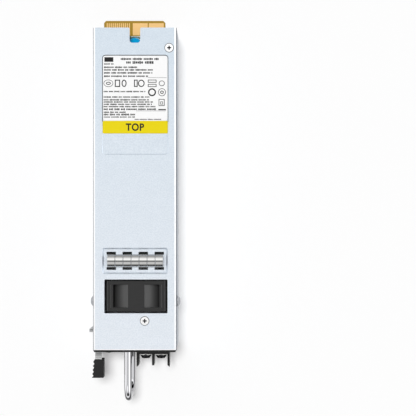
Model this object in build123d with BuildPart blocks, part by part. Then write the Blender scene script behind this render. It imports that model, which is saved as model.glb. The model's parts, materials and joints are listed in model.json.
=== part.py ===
from build123d import *
from math import cos, pi
import os

os.makedirs("parts", exist_ok=True)

# All lengths are in millimetres. X runs across the module, +Y points at the card edge on its
# rear, and the front with the handle faces -Y. Z = 0 is the underside of the housing, and the
# origin is the centre of that underside.

# Folded housing
body_width = 50.5
body_height = 40.0
body_length = 195.0
sheet = 0.8
bend = 1.2
slip = 0.1
step_z = 23.0
step_rise = 1.0
flange_lip = 0.4
wall_relief = 0.6
fold_run = 2.0
slit = 0.5
rear_wall_gap = 0.25
lid_tab_half = 5.5
cut_through = 1.0

half_width = body_width / 2
rear_y = body_length / 2
front_y = -rear_y
cover_under = body_height - sheet
tab_top = cover_under - slip
wall_top = cover_under - wall_relief
lower_in = half_width - sheet
upper_out = half_width - sheet - slip
upper_in = upper_out - sheet
flange_end = step_z + step_rise + flange_lip

# Screws
thread = 3.0
thread_room = 0.05
flat_head = 5.0
flat_recess = 0.7
rim_room = 0.35
rim_depth = 0.45
truss_head = 6.9
truss_height = 2.0
pan_head = 5.5
pan_height = 2.0
pan_crown = (3.6, 0.8)
truss_crown = (3.6, 1.3)
screw_length = 5.0
truss_length = 4.0
rear_screw_inset = (4.45, 12.2)
front_screw_x = 6.0
front_screw_inset = 17.6
side_screw_inset = 29.0
base_screw_x = 15.0
base_screw_inset = 5.0

thread_hole = thread + 2 * thread_room
rear_screw = (half_width - rear_screw_inset[0], rear_y - rear_screw_inset[1])
front_screw = (front_screw_x, front_y + front_screw_inset)
side_screw = (front_y + side_screw_inset, (flange_end + wall_top) / 2)
base_screws_at = [(side * base_screw_x, front_y + base_screw_inset) for side in (-1, 1)]

# Fan, seen through the window of the cover
fan_room = 1.2
latch_space = 5.0
fan_depth = 18.6
fan_x = 0.73
fan_flange = 2.3
fan_wall = 1.2
fan_duct_wall = 0.9
fan_post = 3.9
fan_flat = 9.8
fan_corner = 1.5
fan_hole = 3.0
fan_groove = (15.6, 0.6, 0.5)
hub_radius = 9.0
hub_wall = 0.9
hub_depth = 12.0
hub_chamfer = 0.8
hub_floor = 1.2
rotor_gap = 0.6
tip_gap = 0.5
blade_count = 7
blade_thickness = 1.0
blade_chord = 11.0
blade_flare = 1.1
blade_root = 0.5
blade_past = 1.5
root_angle = 38.0
tip_angle = 58.0
shaft_diameter = 2.0
shaft_clearance = 0.03
shaft_end_gap = 0.2
bearing_diameter = 5.0
bearing_wall = 1.0
boss_length = 8.0
stator_radius = 7.2
stator_shoe = (1.2, 5.2)
stator_height = 5.0
stator_pole = 2.4
stator_yoke = 2.4
stator_gap = 1.2
stator_room = 0.02
strut_count = 4
strut_width = 2.4
strut_depth = 1.4
cradle_wall = 1.0
cradle_room = 0.1
cradle_drop = 4.0
cradle_lip = 1.0
cradle_round = 6.0
window_margin = (1.1, 0.93)
window_gap = 1.77
window_round = 0.6

fan_size = min(body_height - 2 * (sheet + fan_room), 2 * (upper_in - latch_space))
fan_half = fan_size / 2
fan_bore = fan_size - 2 * fan_wall
fan_duct = fan_bore + 2 * fan_duct_wall
window_size = (fan_size + 2 * window_margin[0], fan_depth + 2 * window_margin[1])
fan_y = front_screw[1] + flat_head / 2 + rim_room + window_gap + window_size[1] / 2
fan_z = body_height / 2

# Cover: notch, label pocket and the recess of the contact fingers
notch_x = 0.1
notch_width = 6.4
notch_depth = 9.2
notch_round = 1.7
notch_mouth = 0.9
pocket_x = 0.3
pocket_inset = 16.5
pocket_size = (40.1, 60.3)
pocket_round = 2.0
pocket_depth = 0.4
pocket_slope = 45.0
recess_x = 0.15
recess_gap = 3.3
recess_size = (39.6, 15.85)
recess_round = 1.4
recess_depth = 1.2
recess_slope = 38.0
slot_size = (5.7, 1.65)
slot_span = 9.3
slot_pitch = 9.7
slot_count = 4

pocket_y = rear_y - pocket_inset - pocket_size[1] / 2
recess_y = fan_y + window_size[1] / 2 + recess_gap + recess_size[1] / 2

# Labels
label_thickness = 0.15
label_gap = 0.5
rating_size = (39.1, 39.3)
rating_round = 1.7
top_mark_size = (39.3, 7.6)
top_mark_round = 0.6
label_between = 0.1

# Contact finger strip
finger_pitch = slot_pitch / 2
finger_count = 2 * slot_count - 1
finger_gap = 0.35
finger_sheet = 0.2
finger_x = 0.25
arch_inset = 0.1
arch_rise = 2.2
hook_inset = 0.1
hook_drop = 1.4
strip_band = 0.5

# Front panel
panel_thickness = 0.8
panel_margin = 0.15
panel_chamfer = 0.5
vent_flat = 3.3
vent_pitch = 4.2
tray_vent_columns = 9
tray_vent_rows = 2
panel_vent_columns = 2
panel_vent_rows = 6
top_vent_columns = 5
top_vent_rows = 2
panel_vents_at = (-13.6, 15.0)
top_vents_drop = 7.4
panel_flange = 7.5
panel_flange_inset = 3.6
panel_foot = 9.5
panel_foot_inset = 1.5
panel_tab_half = 12.0
panel_tab_past = 3.6
panel_out = front_y - panel_thickness
flange_inset = upper_in - slip

# Barrier terminal block
pole_pitch = 9.48
pole_count = 2
terminal_side_room = 0.7
terminal_flange = 1.4
terminal_flange_depth = 2.0
terminal_low = 15.0
terminal_high = 27.0
terminal_face = 4.2
terminal_rear = 8.0
terminal_window_room = 0.3
barrier_thickness = 1.3
barrier_reach = 7.9
barrier_short = 0.8
barrier_round = 1.0
barrier_chamfer = 1.0
plate_thickness = 0.5
plate_half_height = 5.2
plate_room = 0.25
washer_thickness = 0.5
washer_wave = 0.6
washer_steps = 8
washer_size = 6.6
terminal_head = 6.6
terminal_head_height = 2.0
terminal_crown = (4.6, 1.5)
terminal_thread = 3.5
terminal_screw_length = 7.0
solder_window = (5.2, 3.0, 4.0)
solder_lift = 3.0

terminal_width = pole_pitch * pole_count + barrier_thickness
terminal_half = terminal_width / 2
terminal_x = (
    flange_inset - panel_thickness - terminal_side_room - terminal_flange - terminal_half)
terminal_mid = (terminal_low + terminal_high) / 2
terminal_out = front_y - terminal_face

# Handle
handle_offset = 14.9
handle_wire = 4.4
handle_edge_gap = 0.6
handle_reach = 33.1
handle_bend = 9.5
handle_thread_depth = 8.0

handle_x = terminal_x - handle_offset
handle_low = sheet + panel_thickness + pan_head / 2 + handle_edge_gap
handle_high = tab_top - panel_thickness - pan_head / 2 - handle_edge_gap

# Latch: a leaf spring inside the left wall, with a catch through the wall and a grip in front
leaf = 0.7
leaf_length = 77.5
leaf_gap = 0.3
leaf_low = 11.0
leaf_high = 28.0
leaf_front_low = 3.0
leaf_front_high = 34.0
leaf_widen = 3.5
leaf_shift = 1.05
leaf_bend = (7.2, 2.0)
leaf_bend_radius = 3.0
catch_front = 9.5
catch_length = 4.6
catch_low = 16.0
catch_reach = 3.5
catch_bar = 1.2
catch_gap = 0.6
catch_tip = 0.3
catch_play = 0.7
catch_room = (0.5, 1.0)
leaf_room = 0.5
grip_rear = 6.4
grip_length = 11.2
grip_width = 6.3
grip_cover = 1.7
grip_height = 8.0
grip_over = 1.0
grip_teeth = 5
grip_tooth = 0.9
grip_lead = 1.45
grip_lean = 0.2
grip_round = 0.5
tang_short = 2.5
tang_entry = 0.3

leaf_x = -upper_in + leaf_gap + leaf / 2
leaf_front_x = leaf_x - leaf_shift
leaf_root_y = front_y + leaf_length
catch_front_y = front_y + catch_front
catch_rear_y = catch_front_y + catch_length
leaf_widen_y = front_y + leaf_widen

# Status light
lamp_offset = 7.55
lamp_drop = 9.0
lamp_collar = 6.6
lamp_collar_chamfer = 0.6
lamp_barrel = 5.0
lamp_proud = 1.5
lamp_lens = 3.0
lens_out = 0.5
lens_chamfer = 0.7
lamp_length = 6.0

lamp_x = leaf_front_x + lamp_offset
lamp_z = body_height - lamp_drop

# Main board and its film
board_thickness = 1.6
film_thickness = 0.4
film_margin = 1.4
film_hole = 7.0
standoff_height = 4.2
standoff_flats = 5.0
standoff_inset = 3.5
standoff_end = 5.0
board_edge_room = 2.45
board_fan_gap = 6.6
board_rear_room = 5.5
screw_end_room = 1.0

board_half = lower_in - board_edge_room
board_front_y = fan_y + fan_depth / 2 + cradle_room + cradle_wall + board_fan_gap
board_rear_y = rear_y - board_rear_room
board_low = sheet + standoff_height
board_top = board_low + board_thickness
board_screw_length = board_top - sheet - screw_end_room
standoff_points = [
    (side * (board_half - standoff_inset), end) for side in (-1, 1)
    for end in (board_front_y + standoff_end, board_rear_y - standoff_end)]

# Card edge board
card_inset = (3.45, 5.65)
card_inside = 37.5
card_outside = 6.85
card_top = 24.0
card_chamfer = 1.3
contact = 0.1
contact_start = 1.45
contact_end = 8.9
signal_pitch = 1.25
signal_width = 0.68
signal_edge = 1.6
signal_gap = 1.0
power_edge = 1.0
power_width = 9.25
power_gap = 0.7
connector_margin = 1.2
connector_low = 14.5

card_x = (-upper_in + card_inset[0], upper_in - card_inset[1])
card_y = (rear_y - card_inside, rear_y + card_outside)
card_low = card_top - board_thickness
connector_x = (card_x[0] - connector_margin, card_x[1] + connector_margin)

# Parts of the power stage, in two lanes between the fan and the card board
fuse_tube = (4.4, 12.0)
fuse_cap = (5.2, 4.0)
fuse_reach = 7.0
choke_diameter = 20.0
choke_hole = 8.0
choke_height = 9.0
choke_chamfer = 1.8
core_size = (25.0, 14.0, 23.0)
core_leg = 4.5
core_lift = 1.0
winding_length = 28.0
winding_round = 5.0
winding_room = 0.3
winding_inner_round = 1.0
bobbin_post = 5.0
bobbin_gap = 2.0
bobbin_width = 14.0
inductor_size = (18.0, 18.0, 14.0)
inductor_round = 2.5
inductor_chamfer = 1.0
input_can_size = (9.6, 25.0)
input_can_count = 2
output_can_size = (8.0, 14.0)
output_can_count = 4
output_can_pitch = 9.0
output_can_inset = 13.0
can_chamfer = 0.5
lane_start = 8.0
lane_margin = 0.7
sink_size = (5.0, 44.0, 26.0)
sink_wall = 1.5
sink_fin = 1.2
sink_fin_pitch = 5.0
sink_fin_count = 5
transistor_body = (3.2, 10.0, 8.5)
transistor_tab = (1.3, 15.0)
transistor_lift = 6.0
transistor_count = 4
transistor_pitch = 11.0
lead_pitch = 2.54
lead_width = 0.8
link_bar = (6.0, 1.0)
link_bars_at = ((-15.9, 2.0), (-5.9, 2.0), (-15.9, 10.0), (-5.9, 10.0))
header_size = (10.0, 2.5)
header_at = (7.1, 3.25)
disc_diameter = 9.2
disc_thickness = 3.6
disc_lift = 1.5
disc_inset = 8.9
disc_x = -0.9
disc_chamfer = 1.0
disc_lead = 0.6
disc_lead_pitch = 3.6
chip_height = 1.4
chips = ((8.1, 12.0, 7.0), (24.1, 10.0, 5.0), (30.1, 20.0, 6.0))


def block(x, y, z, mode=Mode.ADD):
    """Add or cut the box between two limits on each axis."""
    with Locations(((x[0] + x[1]) / 2, (y[0] + y[1]) / 2, (z[0] + z[1]) / 2)):
        Box(x[1] - x[0], y[1] - y[0], z[1] - z[0], mode=mode)


def cross_recess(head, top, depth):
    """Cut a cross for the driver into a head whose top is at the given height."""
    with Locations((0, 0, top - depth / 2)):
        Box(head * 0.5, head * 0.16, depth, mode=Mode.SUBTRACT)
        Box(head * 0.16, head * 0.5, depth, mode=Mode.SUBTRACT)


def turned(profile):
    """Solid of revolution about Z from a closed outline in X and Z."""
    with BuildPart() as piece:
        with BuildSketch(Plane.XZ):
            with BuildLine():
                Polyline(*profile, close=True)
            make_face()
        revolve(axis=Axis.Z)
    return piece.part


def plain_screw(head, height, shank, length, crown):
    """Screw whose head sits on z = 0, with a crown that narrows to (width, height)."""
    return turned([
        (0, height), (crown[0] / 2, height), (head / 2, height - crown[1]), (head / 2, 0),
        (shank / 2, 0), (shank / 2, -length), (0, -length)])


def driven_screw(head, height, shank, length, crown):
    """The same screw with its cross recess, for heads that are seen from outside."""
    with BuildPart() as screw:
        add(plain_screw(head, height, shank, length, crown))
        cross_recess(head, height, height / 2)
    return screw.part


# Countersunk screw with the top of its head at z = 0, and its hole with a rim round the head
flat_neck = flat_head / 2 - thread / 2
with BuildPart() as flat_screw:
    add(turned([
        (0, 0), (flat_head / 2, 0), (thread / 2, -flat_neck), (thread / 2, -screw_length),
        (0, -screw_length)]))
    cross_recess(flat_head, 0, flat_recess)
flat_hole = turned([
    (0, 0), (flat_head / 2 + rim_room, 0), (flat_head / 2 + rim_room, -rim_depth),
    (flat_head / 2 - rim_depth + thread_room, -rim_depth), (thread_hole / 2, -flat_neck),
    (thread_hole / 2, -screw_length), (0, -screw_length)])
pan_screw = plain_screw(pan_head, pan_height, thread, screw_length, pan_crown)
truss_screw = driven_screw(truss_head, truss_height, thread, truss_length, truss_crown)
terminal_screw = driven_screw(
    terminal_head, terminal_head_height, terminal_thread, terminal_screw_length, terminal_crown)

# Base tray: floor, side walls stepped inwards under the cover, and the folded rear wall
rear_wall_half = upper_in - rear_wall_gap
tab_y = (rear_screw[1] - lid_tab_half, rear_screw[1] + lid_tab_half)
tab_x = rear_screw[0] - lid_tab_half
catch_slot_y = (catch_front_y - catch_play, catch_rear_y + catch_play)
catch_slot_z = (catch_low - catch_room[0], leaf_high + catch_room[1])
with BuildPart() as base_tray:
    with BuildSketch(Plane.XZ) as tray_section:
        with BuildLine():
            Polyline(
                (0, 0), (half_width, 0), (half_width, step_z), (upper_out, step_z + step_rise),
                (upper_out, wall_top), (upper_in, wall_top), (upper_in, step_z + step_rise),
                (lower_in, step_z), (lower_in, sheet), (0, sheet), close=True)
        make_face()
        fillet(tray_section.vertices().sort_by_distance((half_width, 0))[0], bend)
        fillet(tray_section.vertices().sort_by_distance((lower_in, sheet))[0], bend - sheet)
        mirror(about=Plane.YZ)
    extrude(amount=rear_y, both=True)
    block(
        (-rear_wall_half - slit, rear_wall_half + slit), (rear_y - fold_run, rear_y + cut_through),
        (-cut_through, sheet + cut_through), Mode.SUBTRACT)
    with BuildSketch(Plane.YZ) as rear_fold:
        with BuildLine():
            Polyline(
                (rear_y - fold_run, 0), (rear_y, 0), (rear_y, wall_top),
                (rear_y - sheet, wall_top), (rear_y - sheet, sheet), (rear_y - fold_run, sheet),
                close=True)
        make_face()
        fillet(rear_fold.vertices().sort_by_distance((rear_y, 0))[0], bend)
        fillet(rear_fold.vertices().sort_by_distance((rear_y - sheet, sheet))[0], bend - sheet)
    extrude(amount=rear_wall_half, both=True)
    block(
        connector_x, (rear_y - 2 * sheet, rear_y + cut_through), (connector_low, body_height),
        Mode.SUBTRACT)
    with BuildSketch(Plane.XZ.offset(-rear_y)):
        with Locations((0, (sheet + connector_low) / 2)):
            with HexLocations(vent_pitch / 2, tray_vent_columns, tray_vent_rows):
                RegularPolygon(vent_flat / 2, 6, major_radius=False)
    extrude(amount=2 * sheet, mode=Mode.SUBTRACT)
    block(
        (upper_in - cut_through, upper_out + cut_through), (tab_y[0] - slit, tab_y[1] + slit),
        (wall_top - fold_run, wall_top + cut_through), Mode.SUBTRACT)
    with BuildSketch(Plane.XZ.offset(-tab_y[1])) as lid_tab:
        with BuildLine():
            Polyline(
                (upper_out, wall_top - fold_run), (upper_out, tab_top), (tab_x, tab_top),
                (tab_x, tab_top - sheet), (upper_in, tab_top - sheet),
                (upper_in, wall_top - fold_run), close=True)
        make_face()
        fillet(lid_tab.vertices().sort_by_distance((upper_out, tab_top))[0], bend)
        fillet(lid_tab.vertices().sort_by_distance((upper_in, tab_top - sheet))[0], bend - sheet)
    extrude(amount=tab_y[1] - tab_y[0])
    with Locations((rear_screw[0], rear_screw[1], body_height)):
        add(flat_hole, mode=Mode.SUBTRACT)
    with Locations(Location((0, side_screw[0], side_screw[1]), (0, 90, 0))):
        Cylinder(thread_hole / 2, body_width, mode=Mode.SUBTRACT)
    block(
        (-half_width - cut_through, -upper_in + cut_through), catch_slot_y, catch_slot_z,
        Mode.SUBTRACT)
    block(
        (-lower_in, -upper_in + cut_through), (front_y - cut_through, catch_slot_y[0] + slip),
        (step_z - slip, leaf_front_high + leaf_room), Mode.SUBTRACT)
    for screw_x, screw_y in base_screws_at:
        with Locations(Location((screw_x, screw_y, 0), (180, 0, 0))):
            add(flat_hole, mode=Mode.SUBTRACT)
base_tray.part.label = "base_tray"
export_step(base_tray.part, "parts/base_tray.step")

# Top cover: one sheet folded down over both stepped walls, with its pressed pocket and recess
recess_floor = body_height - recess_depth
slot_rows = (recess_y + slot_span / 2, recess_y - slot_span / 2)
with BuildPart() as top_cover:
    with BuildSketch(Plane.XZ) as cover_section:
        with BuildLine():
            Polyline(
                (0, body_height), (half_width, body_height), (half_width, flange_end),
                (lower_in, flange_end), (lower_in, cover_under), (0, cover_under), close=True)
        make_face()
        fillet(cover_section.vertices().sort_by_distance((half_width, body_height))[0], bend)
        fillet(cover_section.vertices().sort_by_distance((lower_in, cover_under))[0], bend - sheet)
        mirror(about=Plane.YZ)
    extrude(amount=rear_y, both=True)
    with BuildSketch(Plane.XY.offset(cover_under)):
        with Locations((recess_x, recess_y)):
            RectangleRounded(recess_size[0], recess_size[1], recess_round)
    extrude(amount=-recess_depth, taper=recess_slope)
    with BuildSketch(Plane.XY.offset(body_height)):
        with Locations((recess_x, recess_y)):
            RectangleRounded(recess_size[0], recess_size[1], recess_round)
    extrude(amount=-recess_depth, taper=recess_slope, mode=Mode.SUBTRACT)
    with BuildSketch(Plane.XY.offset(body_height)):
        with Locations((pocket_x, pocket_y)):
            RectangleRounded(pocket_size[0], pocket_size[1], pocket_round)
    extrude(amount=-pocket_depth, taper=pocket_slope, mode=Mode.SUBTRACT)
    with BuildSketch(Plane.XY.offset(body_height)):
        for row in slot_rows:
            with Locations((finger_x, row)):
                with GridLocations(slot_pitch, 1, slot_count, 1):
                    Rectangle(*slot_size)
        with Locations((fan_x, fan_y)):
            RectangleRounded(*window_size, window_round)
    extrude(amount=-recess_depth - 2 * sheet, mode=Mode.SUBTRACT)
    with BuildSketch(Plane.XY.offset(body_height)) as notch:
        with Locations((notch_x, rear_y)):
            Rectangle(notch_width, 2 * notch_depth)
        fillet(notch.vertices().group_by(Axis.Y)[0], notch_round)
    extrude(amount=-2 * sheet, mode=Mode.SUBTRACT)
    mouth = top_cover.edges().filter_by(Axis.Z).group_by(Axis.Y)[-1]
    fillet(mouth.sort_by(lambda edge: abs(edge.center().X - notch_x))[0:2], notch_mouth)
    for screw_x, screw_y in (rear_screw, front_screw):
        with Locations((screw_x, screw_y, body_height)):
            add(flat_hole, mode=Mode.SUBTRACT)
    with Locations(Location((0, side_screw[0], side_screw[1]), (0, 90, 0))):
        Cylinder(thread_hole / 2, body_width, mode=Mode.SUBTRACT)
    block(
        (-half_width - cut_through, -lower_in + cut_through), catch_slot_y,
        (flange_end - cut_through, catch_slot_z[1]), Mode.SUBTRACT)
top_cover.part.label = "top_cover"
export_step(top_cover.part, "parts/top_cover.step")

# Labels in the shallow pocket
pocket_floor = body_height - pocket_depth
rating_rear = pocket_y + pocket_size[1] / 2 - label_gap
rating_front = rating_rear - rating_size[1]
with BuildPart() as rating_label:
    with BuildSketch(Plane.XY.offset(pocket_floor)):
        with Locations((pocket_x, rating_rear - rating_size[1] / 2)):
            RectangleRounded(*rating_size, rating_round)
    extrude(amount=label_thickness)
rating_label.part.label = "rating_label"
export_step(rating_label.part, "parts/rating_label.step")

with BuildPart() as orientation_label:
    with BuildSketch(Plane.XY.offset(pocket_floor)):
        with Locations((pocket_x, rating_front - label_between - top_mark_size[1] / 2)):
            RectangleRounded(*top_mark_size, top_mark_round)
    extrude(amount=label_thickness)
orientation_label.part.label = "orientation_label"
export_step(orientation_label.part, "parts/orientation_label.step")

# Contact fingers: one arched strip slit into fingers, every second one hooked into its slots
strip_half = finger_count * finger_pitch / 2 - finger_gap / 2
slot_inner = slot_span / 2 - slot_size[1] / 2
arch_half = slot_inner - arch_inset
arch_radius = (arch_half ** 2 + arch_rise ** 2) / (2 * arch_rise)
foot = (recess_floor, recess_floor + finger_sheet)
hook = (slot_inner + hook_inset, slot_inner + hook_inset + finger_sheet)
with BuildPart() as finger_strip:
    with BuildSketch(Plane.YZ.offset(finger_x)):
        with Locations((recess_y, recess_floor + arch_rise - arch_radius)):
            Circle(arch_radius + finger_sheet)
            Circle(arch_radius, mode=Mode.SUBTRACT)
        with Locations((recess_y, recess_floor)):
            Rectangle(
                4 * arch_radius, 4 * arch_radius, align=(Align.CENTER, Align.MAX),
                mode=Mode.SUBTRACT)
    extrude(amount=strip_half, both=True)
    for gap in range(finger_count - 1):
        gap_x = finger_x + (gap - (finger_count - 2) / 2) * finger_pitch
        block(
            (gap_x - finger_gap / 2, gap_x + finger_gap / 2),
            (recess_y - 2 * arch_half, recess_y + arch_half - strip_band),
            (recess_floor - cut_through, body_height + arch_rise), Mode.SUBTRACT)
    for column in range(slot_count):
        hook_x = finger_x + (column - (slot_count - 1) / 2) * slot_pitch
        finger = (hook_x - (finger_pitch - finger_gap) / 2, hook_x + (finger_pitch - finger_gap) / 2)
        for side in (-1, 1):
            reach = sorted((recess_y + side * arch_half, recess_y + side * hook[1]))
            down = sorted((recess_y + side * hook[0], recess_y + side * hook[1]))
            block(finger, reach, foot)
            block(finger, down, (foot[1] - hook_drop, foot[1]))
finger_strip.part.label = "finger_strip"
export_step(finger_strip.part, "parts/finger_strip.step")

# Front panel: a flat face with folded edges behind it
panel_half = half_width - panel_margin
latch_notch_x = lamp_x - lamp_collar / 2
front_tab_x = (front_screw[0] - panel_tab_half, front_screw[0] + panel_tab_half)
with BuildPart() as front_panel:
    with BuildSketch(Plane.XY.offset(panel_margin)):
        with BuildLine():
            Polyline(
                (-panel_half, front_y), (panel_half, front_y),
                (panel_half, panel_out + panel_chamfer), (panel_half - panel_chamfer, panel_out),
                (panel_chamfer - panel_half, panel_out), (-panel_half, panel_out + panel_chamfer),
                close=True)
        make_face()
    extrude(amount=body_height - 2 * panel_margin)
    block(
        (panel_foot_inset - flange_inset, flange_inset - panel_foot_inset),
        (front_y, front_y + panel_foot), (sheet, sheet + panel_thickness))
    block(
        (flange_inset - panel_thickness, flange_inset), (front_y, front_y + panel_flange),
        (panel_flange_inset, body_height - panel_flange_inset))
    block(
        front_tab_x, (front_y, front_screw[1] + panel_tab_past),
        (tab_top - panel_thickness, tab_top))
    with Locations((front_screw[0], front_screw[1], body_height)):
        add(flat_hole, mode=Mode.SUBTRACT)
    for screw_x, screw_y in base_screws_at:
        with Locations(Location((screw_x, screw_y, 0), (180, 0, 0))):
            add(flat_hole, mode=Mode.SUBTRACT)
    block(
        (-half_width, latch_notch_x), (panel_out - cut_through, front_y + cut_through),
        (leaf_front_low - leaf_room, leaf_front_high + leaf_room), Mode.SUBTRACT)
    with BuildSketch(Plane.XZ.offset(-front_y)):
        with Locations((lamp_x, lamp_z)):
            Circle(lamp_barrel / 2 + thread_room)
        with Locations((handle_x, handle_low), (handle_x, handle_high)):
            Circle(thread_hole / 2)
        with Locations((terminal_x, terminal_mid)):
            Rectangle(
                terminal_width + 2 * terminal_window_room,
                terminal_high - terminal_low + 2 * terminal_window_room)
        with Locations(panel_vents_at):
            with HexLocations(vent_pitch / 2, panel_vent_columns, panel_vent_rows):
                RegularPolygon(vent_flat / 2, 6, major_radius=False)
        with Locations((terminal_x, body_height - top_vents_drop)):
            with HexLocations(vent_pitch / 2, top_vent_columns, top_vent_rows):
                RegularPolygon(vent_flat / 2, 6, major_radius=False)
    extrude(amount=2 * panel_thickness, both=True, mode=Mode.SUBTRACT)
front_panel.part.label = "front_panel"
export_step(front_panel.part, "parts/front_panel.step")

# Screws of the housing
with BuildPart() as cover_screws:
    with Locations(
            (rear_screw[0], rear_screw[1], body_height),
            (front_screw[0], front_screw[1], body_height)):
        add(flat_screw.part)
cover_screws.part.label = "cover_screws"
export_step(cover_screws.part, "parts/cover_screws.step")

with BuildPart() as side_screws:
    with Locations(
            Location((half_width, side_screw[0], side_screw[1]), (0, 90, 0)),
            Location((-half_width, side_screw[0], side_screw[1]), (0, -90, 0))):
        add(truss_screw)
side_screws.part.label = "side_screws"
export_step(side_screws.part, "parts/side_screws.step")

with BuildPart() as base_screws:
    for screw_x, screw_y in base_screws_at:
        with Locations(Location((screw_x, screw_y, 0), (180, 0, 0))):
            add(flat_screw.part)
base_screws.part.label = "base_screws"
export_step(base_screws.part, "parts/base_screws.step")

# Handle: a loop of round bar, tapped at both ends and held by screws from behind the panel
handle_front = front_y - handle_reach + handle_wire / 2
bend_y = handle_front + handle_bend
tap_mid = panel_out - handle_thread_depth / 2
with BuildPart() as handle:
    for end_z, bend_z, turn in (
            (handle_low, handle_low + handle_bend, -1), (handle_high, handle_high - handle_bend, 1)):
        with BuildSketch(Plane(origin=(handle_x, panel_out, end_z), z_dir=(0, -1, 0))):
            Circle(handle_wire / 2)
        extrude(amount=panel_out - bend_y)
        with BuildSketch(Plane(origin=(handle_x, bend_y, end_z), z_dir=(0, -1, 0))):
            Circle(handle_wire / 2)
        revolve(axis=Axis((handle_x, bend_y, bend_z), (turn, 0, 0)), revolution_arc=90)
    with BuildSketch(Plane(origin=(handle_x, handle_front, handle_low + handle_bend))):
        Circle(handle_wire / 2)
    extrude(amount=handle_high - handle_low - 2 * handle_bend)
    with Locations(
            Location((handle_x, tap_mid, handle_low), (90, 0, 0)),
            Location((handle_x, tap_mid, handle_high), (90, 0, 0))):
        Cylinder(thread_hole / 2, handle_thread_depth, mode=Mode.SUBTRACT)
handle.part.label = "handle"
export_step(handle.part, "parts/handle.step")

with BuildPart() as handle_screws:
    with Locations(
            Location((handle_x, front_y, handle_low), (-90, 0, 0)),
            Location((handle_x, front_y, handle_high), (-90, 0, 0))):
        add(pan_screw)
handle_screws.part.label = "handle_screws"
export_step(handle_screws.part, "parts/handle_screws.step")

# Status light in its snap-in holder, both turned along the same axis
lamp_plane = Plane(origin=(lamp_x, panel_out, lamp_z), x_dir=(1, 0, 0), z_dir=(0, -1, 0))
with BuildPart() as lamp_holder:
    with BuildSketch(lamp_plane):
        Circle(lamp_collar / 2)
    extrude(amount=lamp_proud)
    chamfer(lamp_holder.edges().group_by(Axis.Y)[0], lamp_collar_chamfer)
    with BuildSketch(lamp_plane):
        Circle(lamp_barrel / 2)
    extrude(amount=-lamp_length)
    with BuildSketch(lamp_plane.offset(lamp_proud)):
        Circle(lamp_lens / 2 + thread_room)
    extrude(amount=-lamp_length - lamp_proud, mode=Mode.SUBTRACT)
lamp_holder.part.label = "lamp_holder"
export_step(lamp_holder.part, "parts/lamp_holder.step")

with BuildPart() as lens:
    with BuildSketch(lamp_plane.offset(lamp_proud + lens_out)):
        Circle(lamp_lens / 2)
    extrude(amount=-lamp_length - lamp_proud - lens_out)
    chamfer(lens.edges().group_by(Axis.Y)[0], lens_chamfer)
lens.part.label = "lamp_lens"
export_step(lens.part, "parts/lamp_lens.step")

# Terminal block: moulded body with three barriers, clamping plates, wavy washers and screws
pole_xs = [terminal_x + (pole - (pole_count - 1) / 2) * pole_pitch for pole in range(pole_count)]
plate_half = (pole_pitch - barrier_thickness) / 2 - plate_room
terminal_tap = terminal_screw_length + screw_end_room
with BuildPart() as terminal_body:
    block(
        (terminal_x - terminal_half, terminal_x + terminal_half),
        (terminal_out, front_y + terminal_rear), (terminal_low, terminal_high))
    block(
        (terminal_x - terminal_half - terminal_flange, terminal_x + terminal_half + terminal_flange),
        (front_y, front_y + terminal_flange_depth),
        (terminal_low - terminal_flange, terminal_high + terminal_flange))
    for barrier in range(pole_count + 1):
        barrier_x = terminal_x + (barrier - pole_count / 2) * pole_pitch
        reach = barrier_reach
        if 0 < barrier < pole_count:
            reach = barrier_reach - barrier_short
        with BuildSketch(Plane.YZ.offset(barrier_x - barrier_thickness / 2)) as barrier_side:
            with Locations((terminal_out, terminal_mid)):
                Rectangle(
                    reach, terminal_high - terminal_low, align=(Align.MAX, Align.CENTER))
            fillet(barrier_side.vertices().group_by(Axis.X)[0], barrier_round)
        extrude(amount=barrier_thickness)
    tips = terminal_body.edges().filter_by(Axis.Z).group_by(Axis.Y)[0]
    chamfer(tips.sort_by(lambda edge: abs(edge.center().X - terminal_x))[0:2], barrier_chamfer)
    for pole_x in pole_xs:
        block(
            (pole_x - plate_half, pole_x + plate_half),
            (terminal_out - cut_through, terminal_out + plate_thickness),
            (terminal_mid - plate_half_height, terminal_mid + plate_half_height), Mode.SUBTRACT)
        with Locations(Location((pole_x, terminal_out + terminal_tap / 2, terminal_mid), (90, 0, 0))):
            Cylinder(terminal_thread / 2 + thread_room, terminal_tap, mode=Mode.SUBTRACT)
        block(
            (pole_x - solder_window[0] / 2, pole_x + solder_window[0] / 2),
            (front_y + terminal_rear - solder_window[1], front_y + terminal_rear + cut_through),
            (terminal_low + solder_lift, terminal_low + solder_lift + solder_window[2]),
            Mode.SUBTRACT)
terminal_body.part.label = "terminal_body"
export_step(terminal_body.part, "parts/terminal_body.step")

with BuildPart() as terminal_plates:
    for pole_x in pole_xs:
        block(
            (pole_x - plate_half, pole_x + plate_half),
            (terminal_out, terminal_out + plate_thickness),
            (terminal_mid - plate_half_height, terminal_mid + plate_half_height))
        with Locations(Location((pole_x, terminal_out, terminal_mid), (90, 0, 0))):
            Cylinder(terminal_thread / 2 + thread_room, 4 * plate_thickness, mode=Mode.SUBTRACT)
terminal_plates.part.label = "terminal_plates"
export_step(terminal_plates.part, "parts/terminal_plates.step")

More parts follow.
